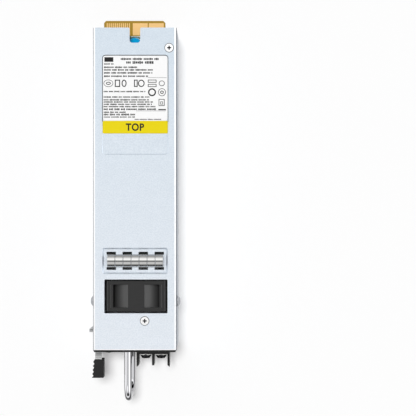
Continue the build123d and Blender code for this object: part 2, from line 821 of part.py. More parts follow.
washer_front = terminal_out - washer_thickness - washer_wave
with BuildPart() as terminal_washers:
    for pole_x in pole_xs:
        rear_line = []
        for step in range(washer_steps + 1):
            lift = washer_wave * (1 - cos(4 * pi * step / washer_steps)) / 2
            rear_line.append((pole_x + (step / washer_steps - 0.5) * washer_size, terminal_out - lift))
        front_line = [(x, y - washer_thickness) for x, y in reversed(rear_line)]
        with BuildSketch(Plane.XY.offset(terminal_mid - washer_size / 2)):
            with BuildLine():
                Polyline(*rear_line, *front_line, close=True)
            make_face()
        extrude(amount=washer_size)
        with Locations(Location((pole_x, terminal_out, terminal_mid), (90, 0, 0))):
            Cylinder(
                terminal_thread / 2 + thread_room, 4 * (washer_wave + washer_thickness),
                mode=Mode.SUBTRACT)
terminal_washers.part.label = "terminal_washers"
export_step(terminal_washers.part, "parts/terminal_washers.step")

with BuildPart() as terminal_screws:
    for pole_x in pole_xs:
        with Locations(Location((pole_x, washer_front, terminal_mid), (90, 0, 0))):
            add(terminal_screw)
terminal_screws.part.label = "terminal_screws"
export_step(terminal_screws.part, "parts/terminal_screws.step")

# Latch spring: a strip bent outwards at the panel, with a folded catch through the wall
grip_back_y = front_y - grip_rear
grip_front_y = grip_back_y - grip_length
grip_high = leaf_front_high + grip_over
grip_low = grip_high - grip_height
leaf_tip_y = grip_front_y + tang_short
catch_tip_x = -half_width - catch_reach
ramp_y = catch_front_y + catch_bar + catch_gap
with BuildPart() as latch_spring:
    with BuildSketch(Plane.XY.offset(leaf_front_low)):
        with BuildLine():
            FilletPolyline(
                (leaf_x, leaf_root_y), (leaf_x, front_y + leaf_bend[0]),
                (leaf_front_x, front_y + leaf_bend[1]), (leaf_front_x, leaf_tip_y),
                radius=leaf_bend_radius)
        trace(line_width=leaf)
    extrude(amount=leaf_front_high - leaf_front_low)
    block(
        (-half_width, 0), (leaf_widen_y, leaf_root_y + cut_through),
        (leaf_high, leaf_front_high + cut_through), Mode.SUBTRACT)
    block(
        (-half_width, 0), (leaf_widen_y, leaf_root_y + cut_through),
        (leaf_front_low - cut_through, leaf_low), Mode.SUBTRACT)
    block(
        (-half_width - cut_through, 0), (leaf_tip_y - cut_through, grip_back_y + tang_entry),
        (leaf_front_low - cut_through, grip_low + cut_through), Mode.SUBTRACT)
    with BuildSketch(Plane.XY.offset(catch_low)):
        with BuildLine():
            Polyline(
                (leaf_x, catch_rear_y), (-half_width, catch_rear_y), (catch_tip_x, ramp_y),
                (catch_tip_x, ramp_y - catch_tip), (leaf_x, ramp_y - catch_tip), close=True)
        make_face()
        with BuildLine():
            Polyline(
                (leaf_x, catch_front_y), (catch_tip_x, catch_front_y),
                (catch_tip_x, catch_front_y + catch_bar), (leaf_x, catch_front_y + catch_bar),
                close=True)
        make_face()
    extrude(amount=leaf_high - catch_low)
latch_spring.part.label = "latch_spring"
export_step(latch_spring.part, "parts/latch_spring.step")

# Latch grip: moulded block with a toothed outer side, pushed over the end of the strip
grip_left_x = leaf_front_x - grip_cover
grip_right_x = grip_left_x + grip_width
tooth_pitch = (grip_length - grip_lead) / (grip_teeth - 1)
with BuildPart() as latch_grip:
    outline = [(grip_right_x, grip_front_y), (grip_right_x, grip_back_y),
               (grip_left_x + grip_tooth, grip_back_y)]
    for tooth in range(grip_teeth):
        tip = (grip_left_x - tooth * grip_lean, grip_back_y - grip_lead - tooth * tooth_pitch)
        if tooth > 0:
            outline.append((tip[0] + grip_tooth, tip[1] + tooth_pitch / 2))
        outline.append(tip)
    with BuildSketch(Plane.XY.offset(grip_low)):
        with BuildLine():
            Polyline(*outline, close=True)
        make_face()
    extrude(amount=grip_height)
    chamfer(latch_grip.edges().filter_by(Axis.Y).group_by(Axis.X)[-1], grip_round)
    block(
        (leaf_front_x - leaf / 2, leaf_front_x + leaf / 2), (leaf_tip_y, grip_back_y + cut_through),
        (grip_low - cut_through, leaf_front_high), Mode.SUBTRACT)
latch_grip.part.label = "latch_grip"
export_step(latch_grip.part, "parts/latch_grip.step")

# Fan frame: square flanges, round duct between them, corner posts and motor struts
pocket_width = fan_half - fan_post - fan_flat / 2
pocket_shift = (fan_half - fan_post + fan_flat / 2) / 2
fan_centre = (fan_x, fan_y, fan_z)
fan_plane = Plane(origin=fan_centre, x_dir=(1, 0, 0), z_dir=(0, -1, 0))
motor_face = fan_depth / 2 - strut_depth
boss_radius = bearing_diameter / 2 + bearing_wall
with BuildPart() as fan_frame:
    with BuildSketch(fan_plane):
        RectangleRounded(fan_size, fan_size, fan_corner)
        Circle(fan_bore / 2, mode=Mode.SUBTRACT)
    extrude(amount=fan_depth / 2, both=True)
    with BuildSketch(fan_plane):
        with PolarLocations(0, 4):
            with Locations((pocket_shift, fan_half), (-pocket_shift, fan_half)):
                Rectangle(pocket_width, fan_size)
        Circle(fan_duct / 2, mode=Mode.SUBTRACT)
        with Locations((fan_half, fan_half), (-fan_half, fan_half), (fan_half, -fan_half),
                       (-fan_half, -fan_half)):
            Rectangle(2 * fan_post, 2 * fan_post, mode=Mode.SUBTRACT)
        with Locations((fan_groove[0], fan_half), (-fan_groove[0], fan_half)):
            Rectangle(fan_groove[1], 2 * fan_groove[2])
    extrude(amount=fan_depth / 2 - fan_flange, both=True, mode=Mode.SUBTRACT)
    with BuildSketch(fan_plane.offset(motor_face)):
        Circle(hub_radius)
        with PolarLocations(0, strut_count, start_angle=45):
            Rectangle(
                fan_bore / 2 + fan_wall / 2, strut_width, align=(Align.MIN, Align.CENTER))
    extrude(amount=strut_depth)
    with BuildSketch(fan_plane.offset(motor_face)):
        Circle(boss_radius)
    extrude(amount=-boss_length)
    with BuildSketch(fan_plane.offset(motor_face)):
        Circle(bearing_diameter / 2)
    extrude(amount=-boss_length - cut_through, mode=Mode.SUBTRACT)
    with BuildSketch(fan_plane):
        with GridLocations(fan_size - fan_post, fan_size - fan_post, 2, 2):
            Circle(fan_hole / 2)
    extrude(amount=fan_depth, both=True, mode=Mode.SUBTRACT)
fan_frame.part.label = "fan_frame"
export_step(fan_frame.part, "parts/fan_frame.step")

with BuildPart() as fan_bearing:
    with BuildSketch(fan_plane.offset(motor_face)):
        Circle(bearing_diameter / 2)
        Circle(shaft_diameter / 2 + shaft_clearance, mode=Mode.SUBTRACT)
    extrude(amount=-boss_length)
fan_bearing.part.label = "fan_bearing"
export_step(fan_bearing.part, "parts/fan_bearing.step")

with BuildPart() as fan_stator:
    with BuildSketch(fan_plane.offset(motor_face - stator_gap)):
        Circle(bearing_diameter / 2 + stator_yoke)
        with PolarLocations(0, 4):
            Rectangle(stator_radius, stator_pole, align=(Align.MIN, Align.CENTER))
            with Locations((stator_radius - stator_shoe[0] / 2, 0)):
                Rectangle(*stator_shoe)
        Circle(boss_radius + stator_room, mode=Mode.SUBTRACT)
    extrude(amount=-stator_height)
fan_stator.part.label = "fan_stator"
export_step(fan_stator.part, "parts/fan_stator.step")

# Rotor: hub cup on a shaft, with twisted blades lofted from root to tip
hub_back = motor_face - rotor_gap
hub_front = hub_back - hub_depth
tip_radius = fan_bore / 2 - tip_gap
blade_mid = (hub_back + hub_front) / 2
with BuildPart() as blade:
    for radius, chord, angle in (
            (hub_radius - blade_root, blade_chord, root_angle),
            (tip_radius + blade_past, blade_chord * blade_flare, tip_angle)):
        section_plane = Plane(
            origin=(fan_x + radius, fan_y - blade_mid, fan_z), x_dir=(0, -1, 0), z_dir=(1, 0, 0))
        with BuildSketch(section_plane):
            Rectangle(chord, blade_thickness, rotation=angle)
    loft(ruled=True)
with BuildPart() as fan_rotor:
    with BuildSketch(fan_plane.offset(hub_front)):
        Circle(hub_radius)
    extrude(amount=hub_depth)
    chamfer(fan_rotor.edges().group_by(Axis.Y)[-1], hub_chamfer)
    for count in range(blade_count):
        add(blade.part.rotate(Axis(fan_centre, (0, 1, 0)), 360 / blade_count * count))
    with BuildSketch(fan_plane.offset(blade_mid - blade_chord)):
        Circle(fan_size)
        Circle(tip_radius, mode=Mode.SUBTRACT)
    extrude(amount=2 * blade_chord, mode=Mode.SUBTRACT)
    with BuildSketch(fan_plane.offset(hub_back)):
        Circle(hub_radius - hub_wall)
    extrude(amount=hub_floor - hub_depth, mode=Mode.SUBTRACT)
    with BuildSketch(fan_plane.offset(hub_front)):
        Circle(shaft_diameter / 2)
    extrude(amount=hub_depth, mode=Mode.SUBTRACT)
fan_rotor.part.label = "fan_rotor"
export_step(fan_rotor.part, "parts/fan_rotor.step")

with BuildPart() as fan_shaft:
    with BuildSketch(fan_plane.offset(hub_front)):
        Circle(shaft_diameter / 2)
    extrude(amount=motor_face - hub_front - shaft_end_gap)
fan_shaft.part.label = "fan_shaft"
export_step(fan_shaft.part, "parts/fan_shaft.step")

# Fan cradle: moulded tray that seats the fan on the floor of the housing
cradle_in = fan_half + cradle_room
cradle_out = cradle_in + cradle_wall
cradle_in_y = fan_depth / 2 + cradle_room
cradle_out_y = cradle_in_y + cradle_wall
cradle_opening = fan_size - 2 * cradle_lip
with BuildPart() as fan_cradle:
    block(
        (fan_x - cradle_out, fan_x + cradle_out), (fan_y - cradle_out_y, fan_y + cradle_out_y),
        (sheet, fan_z + fan_half - cradle_drop))
    block(
        (fan_x - cradle_in, fan_x + cradle_in), (fan_y - cradle_in_y, fan_y + cradle_in_y),
        (fan_z - fan_half, body_height), Mode.SUBTRACT)
    with BuildSketch(Plane.XZ.offset(-fan_y)):
        with Locations((fan_x, fan_z)):
            RectangleRounded(cradle_opening, cradle_opening, cradle_round)
        with Locations((fan_x, body_height)):
            Rectangle(cradle_opening, fan_size)
    extrude(amount=fan_depth, both=True, mode=Mode.SUBTRACT)
fan_cradle.part.label = "fan_cradle"
export_step(fan_cradle.part, "parts/fan_cradle.step")

# Main board on four standoffs over an insulating film
with BuildPart() as floor_insulator:
    block(
        (-board_half - film_margin, board_half + film_margin),
        (board_front_y - film_margin, board_rear_y + film_margin), (sheet, sheet + film_thickness))
    with Locations(*[(x, y, sheet) for x, y in standoff_points]):
        Box(film_hole, film_hole, 4 * film_thickness, mode=Mode.SUBTRACT)
floor_insulator.part.label = "floor_insulator"
export_step(floor_insulator.part, "parts/floor_insulator.step")

with BuildPart() as board_standoffs:
    for x, y in standoff_points:
        with BuildSketch(Plane.XY.offset(sheet)):
            with Locations((x, y)):
                RegularPolygon(standoff_flats / 2, 6, major_radius=False)
                Circle(thread_hole / 2, mode=Mode.SUBTRACT)
        extrude(amount=standoff_height)
board_standoffs.part.label = "board_standoffs"
export_step(board_standoffs.part, "parts/board_standoffs.step")

with BuildPart() as main_board:
    block((-board_half, board_half), (board_front_y, board_rear_y), (board_low, board_top))
    with Locations(*[(x, y, board_top) for x, y in standoff_points]):
        Cylinder(thread_hole / 2, 4 * board_thickness, mode=Mode.SUBTRACT)
main_board.part.label = "main_board"
export_step(main_board.part, "parts/main_board.step")

board_screw = plain_screw(pan_head, pan_height, thread, board_screw_length, pan_crown)
with BuildPart() as board_screws:
    with Locations(*[(x, y, board_top) for x, y in standoff_points]):
        add(board_screw)
board_screws.part.label = "board_screws"
export_step(board_screws.part, "parts/board_screws.step")

# Card edge board with its contacts on both faces
with BuildPart() as card_board:
    block(card_x, card_y, (card_low, card_top))
    card_corners = card_board.edges().filter_by(Axis.Z).group_by(Axis.Y)[-1]
    chamfer(card_corners, card_chamfer)
card_board.part.label = "card_board"
export_step(card_board.part, "parts/card_board.step")

pad_y = (card_y[1] - contact_end, card_y[1] - contact_start)
right_pad = (card_x[1] - power_edge - power_width, card_x[1] - power_edge)
left_pad = (right_pad[0] - power_gap - power_width, right_pad[0] - power_gap)
signal_left = card_x[0] + signal_edge
signal_count = int((left_pad[0] - signal_gap - signal_left) / signal_pitch)
with BuildPart() as signal_contacts:
    for face_z in (card_top, card_low - contact):
        for count in range(signal_count):
            pad_left = signal_left + count * signal_pitch
            block((pad_left, pad_left + signal_width), pad_y, (face_z, face_z + contact))
signal_contacts.part.label = "signal_contacts"
export_step(signal_contacts.part, "parts/signal_contacts.step")

with BuildPart() as power_contacts:
    for face_z in (card_top, card_low - contact):
        for pad_x in (left_pad, right_pad):
            block(pad_x, pad_y, (face_z, face_z + contact))
power_contacts.part.label = "power_contacts"
export_step(power_contacts.part, "parts/power_contacts.step")

# Copper bars carry the card board and its current, with a pin header beside them
with BuildPart() as link_bars:
    for from_right, from_front in link_bars_at:
        with Locations((card_x[1] + from_right, card_y[0] + from_front, board_top)):
            Box(
                *link_bar, card_low - board_top, align=(Align.CENTER, Align.CENTER, Align.MIN))
link_bars.part.label = "link_bars"
export_step(link_bars.part, "parts/link_bars.step")

with BuildPart() as signal_header:
    with Locations((card_x[0] + header_at[0], card_y[0] + header_at[1], board_top)):
        Box(
            *header_size, card_low - board_top, align=(Align.CENTER, Align.CENTER, Align.MIN))
signal_header.part.label = "signal_header"
export_step(signal_header.part, "parts/signal_header.step")


def lane(lengths):
    """Centres of parts that follow each other with even gaps from the board's front to the card."""
    start = board_front_y + lane_start
    gap = (card_y[0] - start - sum(lengths)) / len(lengths)
    centres = []
    for length in lengths:
        centres.append(start + length / 2)
        start += length + gap
    return centres


sink_x = board_half - sink_size[0]
left_lane_x = (sink_x - transistor_body[0] - board_half) / 2
right_lane_x = board_half - lane_margin - input_can_size[0] / 2
fuse_y, choke_y, transformer_y, inductor_y = lane(
    [fuse_cap[0], choke_diameter, winding_length, inductor_size[1]])
*input_can_ys, sink_y = lane([input_can_size[0]] * input_can_count + [sink_size[1]])

with BuildPart() as input_capacitors:
    with Locations(*[(right_lane_x, y, board_top) for y in input_can_ys]):
        Cylinder(
            input_can_size[0] / 2, input_can_size[1], align=(Align.CENTER, Align.CENTER, Align.MIN))
    chamfer(input_capacitors.edges().group_by(Axis.Z)[-1], can_chamfer)
input_capacitors.part.label = "input_capacitors"
export_step(input_capacitors.part, "parts/input_capacitors.step")

with BuildPart() as output_capacitors:
    with Locations((0, board_rear_y - output_can_inset, board_top)):
        with GridLocations(output_can_pitch, 1, output_can_count, 1):
            Cylinder(
                output_can_size[0] / 2, output_can_size[1],
                align=(Align.CENTER, Align.CENTER, Align.MIN))
    chamfer(output_capacitors.edges().group_by(Axis.Z)[-1], can_chamfer)
output_capacitors.part.label = "output_capacitors"
export_step(output_capacitors.part, "parts/output_capacitors.step")

# Ring choke lying on the board
with BuildPart() as input_choke:
    with BuildSketch(Plane.XY.offset(board_top)):
        with Locations((left_lane_x, choke_y)):
            Circle(choke_diameter / 2)
            Circle(choke_hole / 2, mode=Mode.SUBTRACT)
    extrude(amount=choke_height)
    chamfer(input_choke.edges().group_by(Axis.Z)[-1], choke_chamfer)
input_choke.part.label = "input_choke"
export_step(input_choke.part, "parts/input_choke.step")

# Transformer: ferrite core in two E halves round a wound bobbin
core_half = core_size[0] / 2
core_z = (board_top + core_lift, board_top + core_size[2])
window_z = (core_z[0] + core_leg, core_z[1] - core_leg)
with BuildPart() as transformer_core:
    with Locations((left_lane_x, transformer_y, (core_z[0] + core_z[1]) / 2)):
        Box(core_size[0], core_size[1], core_z[1] - core_z[0])
    for side in (-1, 1):
        near = left_lane_x + side * core_leg
        far = left_lane_x + side * (core_half - core_leg)
        block(
            sorted((near, far)), (transformer_y - core_size[1], transformer_y + core_size[1]),
            window_z, Mode.SUBTRACT)
transformer_core.part.label = "transformer_core"
export_step(transformer_core.part, "parts/transformer_core.step")

with BuildPart() as transformer_winding:
    with BuildSketch(Plane.XY.offset(window_z[0] + winding_room)):
        with Locations((left_lane_x, transformer_y)):
            RectangleRounded(
                2 * (core_half - core_leg - winding_room), winding_length, winding_round)
            RectangleRounded(
                2 * (core_leg + winding_room), core_size[1] + 2 * winding_room,
                winding_inner_round, mode=Mode.SUBTRACT)
    extrude(amount=window_z[1] - window_z[0] - 2 * winding_room)
transformer_winding.part.label = "transformer_winding"
export_step(transformer_winding.part, "parts/transformer_winding.step")

# Bobbin posts carry the winding from the board at both ends of the core
with BuildPart() as transformer_bobbin:
    with Locations((left_lane_x, transformer_y, board_top)):
        with GridLocations(1, core_size[1] + 2 * bobbin_gap + bobbin_post, 1, 2):
            Box(
                bobbin_width, bobbin_post, window_z[0] + winding_room - board_top,
                align=(Align.CENTER, Align.CENTER, Align.MIN))
transformer_bobbin.part.label = "transformer_bobbin"
export_step(transformer_bobbin.part, "parts/transformer_bobbin.step")

# Finned heat sink with the power transistors clamped on its flat side
sink_ends = (sink_y - sink_size[1] / 2, sink_y + sink_size[1] / 2)
sink_top = board_top + sink_size[2]
with BuildPart() as heat_sink:
    block((sink_x, sink_x + sink_wall), sink_ends, (board_top, sink_top))
    for fin in range(sink_fin_count):
        fin_z = sink_top - fin * sink_fin_pitch
        block((sink_x, sink_x + sink_size[0]), sink_ends, (fin_z - sink_fin, fin_z))
heat_sink.part.label = "heat_sink"
export_step(heat_sink.part, "parts/heat_sink.step")

transistor_z = board_top + transistor_lift
with BuildPart() as power_transistors:
    for count in range(transistor_count):
        y = sink_y + (count - (transistor_count - 1) / 2) * transistor_pitch
        body_y = (y - transistor_body[1] / 2, y + transistor_body[1] / 2)
        block(
            (sink_x - transistor_tab[0], sink_x), body_y,
            (transistor_z, transistor_z + transistor_tab[1]))
        block(
            (sink_x - transistor_body[0], sink_x), body_y,
            (transistor_z, transistor_z + transistor_body[2]))
        for lead in (-lead_pitch, 0, lead_pitch):
            block(
                (sink_x - transistor_tab[0] - lead_width, sink_x - transistor_tab[0]),
                (y + lead - lead_width / 2, y + lead + lead_width / 2), (board_top, transistor_z))
power_transistors.part.label = "power_transistors"
export_step(power_transistors.part, "parts/power_transistors.step")

# Output inductor: a moulded block with rounded corners
with BuildPart() as output_inductor:
    with BuildSketch(Plane.XY.offset(board_top)):
        with Locations((left_lane_x, inductor_y)):
            RectangleRounded(inductor_size[0], inductor_size[1], inductor_round)
    extrude(amount=inductor_size[2])
    chamfer(output_inductor.edges().group_by(Axis.Z)[-1], inductor_chamfer)
output_inductor.part.label = "output_inductor"
export_step(output_inductor.part, "parts/output_inductor.step")

# Input fuse: a tube between two end caps that rest on the board
with BuildPart() as fuse:
    with Locations(Location((left_lane_x, fuse_y, board_top + fuse_cap[0] / 2), (0, 90, 0))):
        Cylinder(fuse_tube[0] / 2, fuse_tube[1])
        with Locations((0, 0, fuse_reach), (0, 0, -fuse_reach)):
            Cylinder(fuse_cap[0] / 2, fuse_cap[1])
fuse.part.label = "fuse"
export_step(fuse.part, "parts/fuse.step")

# Coated disc capacitor lying on its bent leads under the notch
disc_y = rear_y - disc_inset
with BuildPart() as disc_capacitor:
    with Locations((disc_x, disc_y, card_top + disc_lift)):
        Cylinder(
            disc_diameter / 2, disc_thickness, align=(Align.CENTER, Align.CENTER, Align.MIN))
    rims = disc_capacitor.edges().filter_by(GeomType.CIRCLE)
    chamfer(rims, disc_chamfer)
    with Locations((disc_x, disc_y, card_top)):
        with GridLocations(disc_lead_pitch, 1, 2, 1):
            Cylinder(
                disc_lead / 2, disc_lift + disc_thickness / 2,
                align=(Align.CENTER, Align.CENTER, Align.MIN))
disc_capacitor.part.label = "disc_capacitor"
export_step(disc_capacitor.part, "parts/disc_capacitor.step")

# Control chips on the card board, each placed from the board's inner corner
with BuildPart() as control_chips:
    for from_left, from_front, chip_size in chips:
        with Locations((card_x[0] + from_left, card_y[0] + from_front, card_top)):
            Box(
                chip_size, chip_size, chip_height,
                align=(Align.CENTER, Align.CENTER, Align.MIN))
control_chips.part.label = "control_chips"
export_step(control_chips.part, "parts/control_chips.step")
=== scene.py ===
# %% [markdown]
# A slim plug-in DC power supply, dressed for its portrait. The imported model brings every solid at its
# real size: folded zinc-coated sheet, a black front with handle, latch and terminals, and a card edge
# at the rear. This file gives each solid its finish, prints the labels, and lights the scene like a
# catalogue photograph taken from straight above. The cells follow the work: boxes and camera, finishes,
# the few pieces that are added, the print, and then floor, room and lamp.

import json
import math
import random

import bmesh
import bpy
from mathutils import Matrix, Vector


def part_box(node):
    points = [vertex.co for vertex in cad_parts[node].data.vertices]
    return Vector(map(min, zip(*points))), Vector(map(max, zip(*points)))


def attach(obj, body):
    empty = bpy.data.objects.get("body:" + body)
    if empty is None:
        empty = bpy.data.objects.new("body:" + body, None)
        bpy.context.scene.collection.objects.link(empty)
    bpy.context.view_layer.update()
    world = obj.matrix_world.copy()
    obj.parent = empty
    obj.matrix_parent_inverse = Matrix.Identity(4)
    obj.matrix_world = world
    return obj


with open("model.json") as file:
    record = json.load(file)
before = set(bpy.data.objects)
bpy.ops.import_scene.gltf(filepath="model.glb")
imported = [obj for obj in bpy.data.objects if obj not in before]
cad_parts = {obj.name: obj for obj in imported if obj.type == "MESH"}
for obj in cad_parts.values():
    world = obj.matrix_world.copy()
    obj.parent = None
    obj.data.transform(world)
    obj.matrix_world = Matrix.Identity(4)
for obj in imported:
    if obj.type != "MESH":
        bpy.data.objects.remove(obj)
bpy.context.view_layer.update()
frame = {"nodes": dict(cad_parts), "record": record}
nodes = frame["nodes"]
MM = 0.001
print("nodes in the frame:", len(nodes))

# %% [markdown]
# Everything that is added here is placed from the boxes of the module's own solids. The cover gives the
# plan of the housing and the height of its top face, and the two labels give the places of their print.
# Places typed by hand would be shorter to write, but they would be wrong as soon as a solid changes.

# %% Boxes that place the scene
cover_low, cover_high = (Vector(corner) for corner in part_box("top_cover"))
rating_low, rating_high = (Vector(corner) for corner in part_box("rating_label"))
mark_low, mark_high = (Vector(corner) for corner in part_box("orientation_label"))
screws_low, screws_high = (Vector(corner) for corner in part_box("cover_screws"))
disc_low, disc_high = (Vector(corner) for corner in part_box("disc_capacitor"))
panel_low, panel_high = (Vector(corner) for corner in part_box("front_panel"))
grip_low, grip_high = (Vector(corner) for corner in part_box("latch_grip"))
handle_low, handle_high = (Vector(corner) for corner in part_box("handle"))
card_high = Vector(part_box("card_board")[1])
fan_high = Vector(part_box("fan_frame")[1])
print("cover is", [round(v / MM, 1) for v in cover_high - cover_low], "mm")

# %% [markdown]
# The photograph looks straight down on the module from a little to its right, with a long lens. A
# camera that points along -Z has its picture upright when the module's rear is at the top. A camera
# without perspective would be simpler, but the photograph shows a sliver of the right wall, and only
# perspective gives that. The camera's height over the cover and its angle of view fix how wide it is.

# %% Camera
CAMERA_ABOVE_COVER = 635 * MM
CAMERA_X = 44.3 * MM
CAMERA_Y = -11.6 * MM
VIEW_DEGREES = 22.4

camera_data = bpy.data.cameras.new("camera")
camera_data.sensor_width = 36
camera_data.angle = math.radians(VIEW_DEGREES)
camera_data.clip_start = 0.01
camera_data.clip_end = 10
camera = bpy.data.objects.new("camera", camera_data)
camera.location = (CAMERA_X, CAMERA_Y, cover_high.z + CAMERA_ABOVE_COVER)
bpy.context.collection.objects.link(camera)
bpy.context.scene.camera = camera
print("camera height:", round(camera.location.z, 3), "m")

# %% [markdown]
# A material is a small graph of nodes. Three helpers keep the rest of the file short. One turns a hex
# colour, as a paint program shows it, into the linear values that a shader computes with. One adds a
# node with its settings, its fixed values and its links in a single call. One starts a material with
# its main values. A noise texture seldom leaves the middle of its range, so the patterns below stretch
# that middle part, and its two ends are named here.

# %% Colour and node helpers
NOISE_SPAN = {"From Min": 0.3, "From Max": 0.7}


def linear(hex_colour):
    """Turn an sRGB hex colour into a linear RGBA value."""
    channels = [int(hex_colour[i:i + 2], 16) / 255 for i in (0, 2, 4)]
    return [c / 12.92 if c <= 0.04045 else ((c + 0.055) / 1.055) ** 2.4 for c in channels] + [1.0]


def add_node(tree, kind, inputs=None, **settings):
    """Add a node, set its properties, and fill or link its inputs."""
    node = tree.nodes.new(kind)
    for name, value in settings.items():
        setattr(node, name, value)
    for socket, value in (inputs or {}).items():
        if isinstance(value, bpy.types.NodeSocket):
            tree.links.new(value, node.inputs[socket])
        else:
            node.inputs[socket].default_value = value
    return node


def start_finish(name, colour, roughness, metallic=0.0):
    """Start a material with its main values on the shader's own sockets."""
    finish = bpy.data.materials.new(name)
    finish.use_nodes = True
    shader = finish.node_tree.nodes["Principled BSDF"]
    shader.inputs["Base Color"].default_value = linear(colour)
    shader.inputs["Roughness"].default_value = roughness
    shader.inputs["Metallic"].default_value = metallic
    return finish, finish.node_tree, shader


# %% [markdown]
# The housing is electro-galvanised steel sheet. The zinc is a thin satin coat with a faint cloudy
# mottle a few millimetres wide and a fine grain, so it mirrors the room softly. A metal's colour is
# its reflection's colour, so the pale blue grey goes into the base colour of a fully metallic shader.
# Along the outside of a bend, on the rim that the press leaves round a flat screw and on the edge of the
# shallow pocket for the labels, the colour is painted shade: a dark grey. A slope between two limits, a
# ring round each screw and a depth within the labels' reach pick those places out. Vertical walls are
# painted a darker grey as painted shade, and towards the front the sheet is painted lighter as painted
# light. Just inside the folds and along the front edge a narrow pale band is a painted highlight. All
# this could be painted on an unwrapped map, but reading it from the surface's own slope and place needs
# no unwrapping.
# The real grain is finer than the picture can show, so the specks are drawn at 0.7 mm.

# %% Zinc-coated sheet
MOTTLE_SIZE = 5 * MM
SPECK_SIZE = 0.7 * MM
SPECK_SPAN = {"From Min": 0.35, "From Max": 0.65}
HEAD_RADIUS = 2.5 * MM
RIM_WIDTH = 0.34 * MM
BEND_SLOPES = (0.06, 0.72)
POCKET_EDGE = 0.6 * MM
POCKET_DEPTHS = (0.03 * MM, 0.45 * MM)
POCKET_SLOPE = 0.9
FOLD_BAND = 1.3 * MM

rear_screw = (screws_high.x - HEAD_RADIUS, screws_high.y - HEAD_RADIUS, screws_high.z)
front_screw = (screws_low.x + HEAD_RADIUS, screws_low.y + HEAD_RADIUS, screws_high.z)


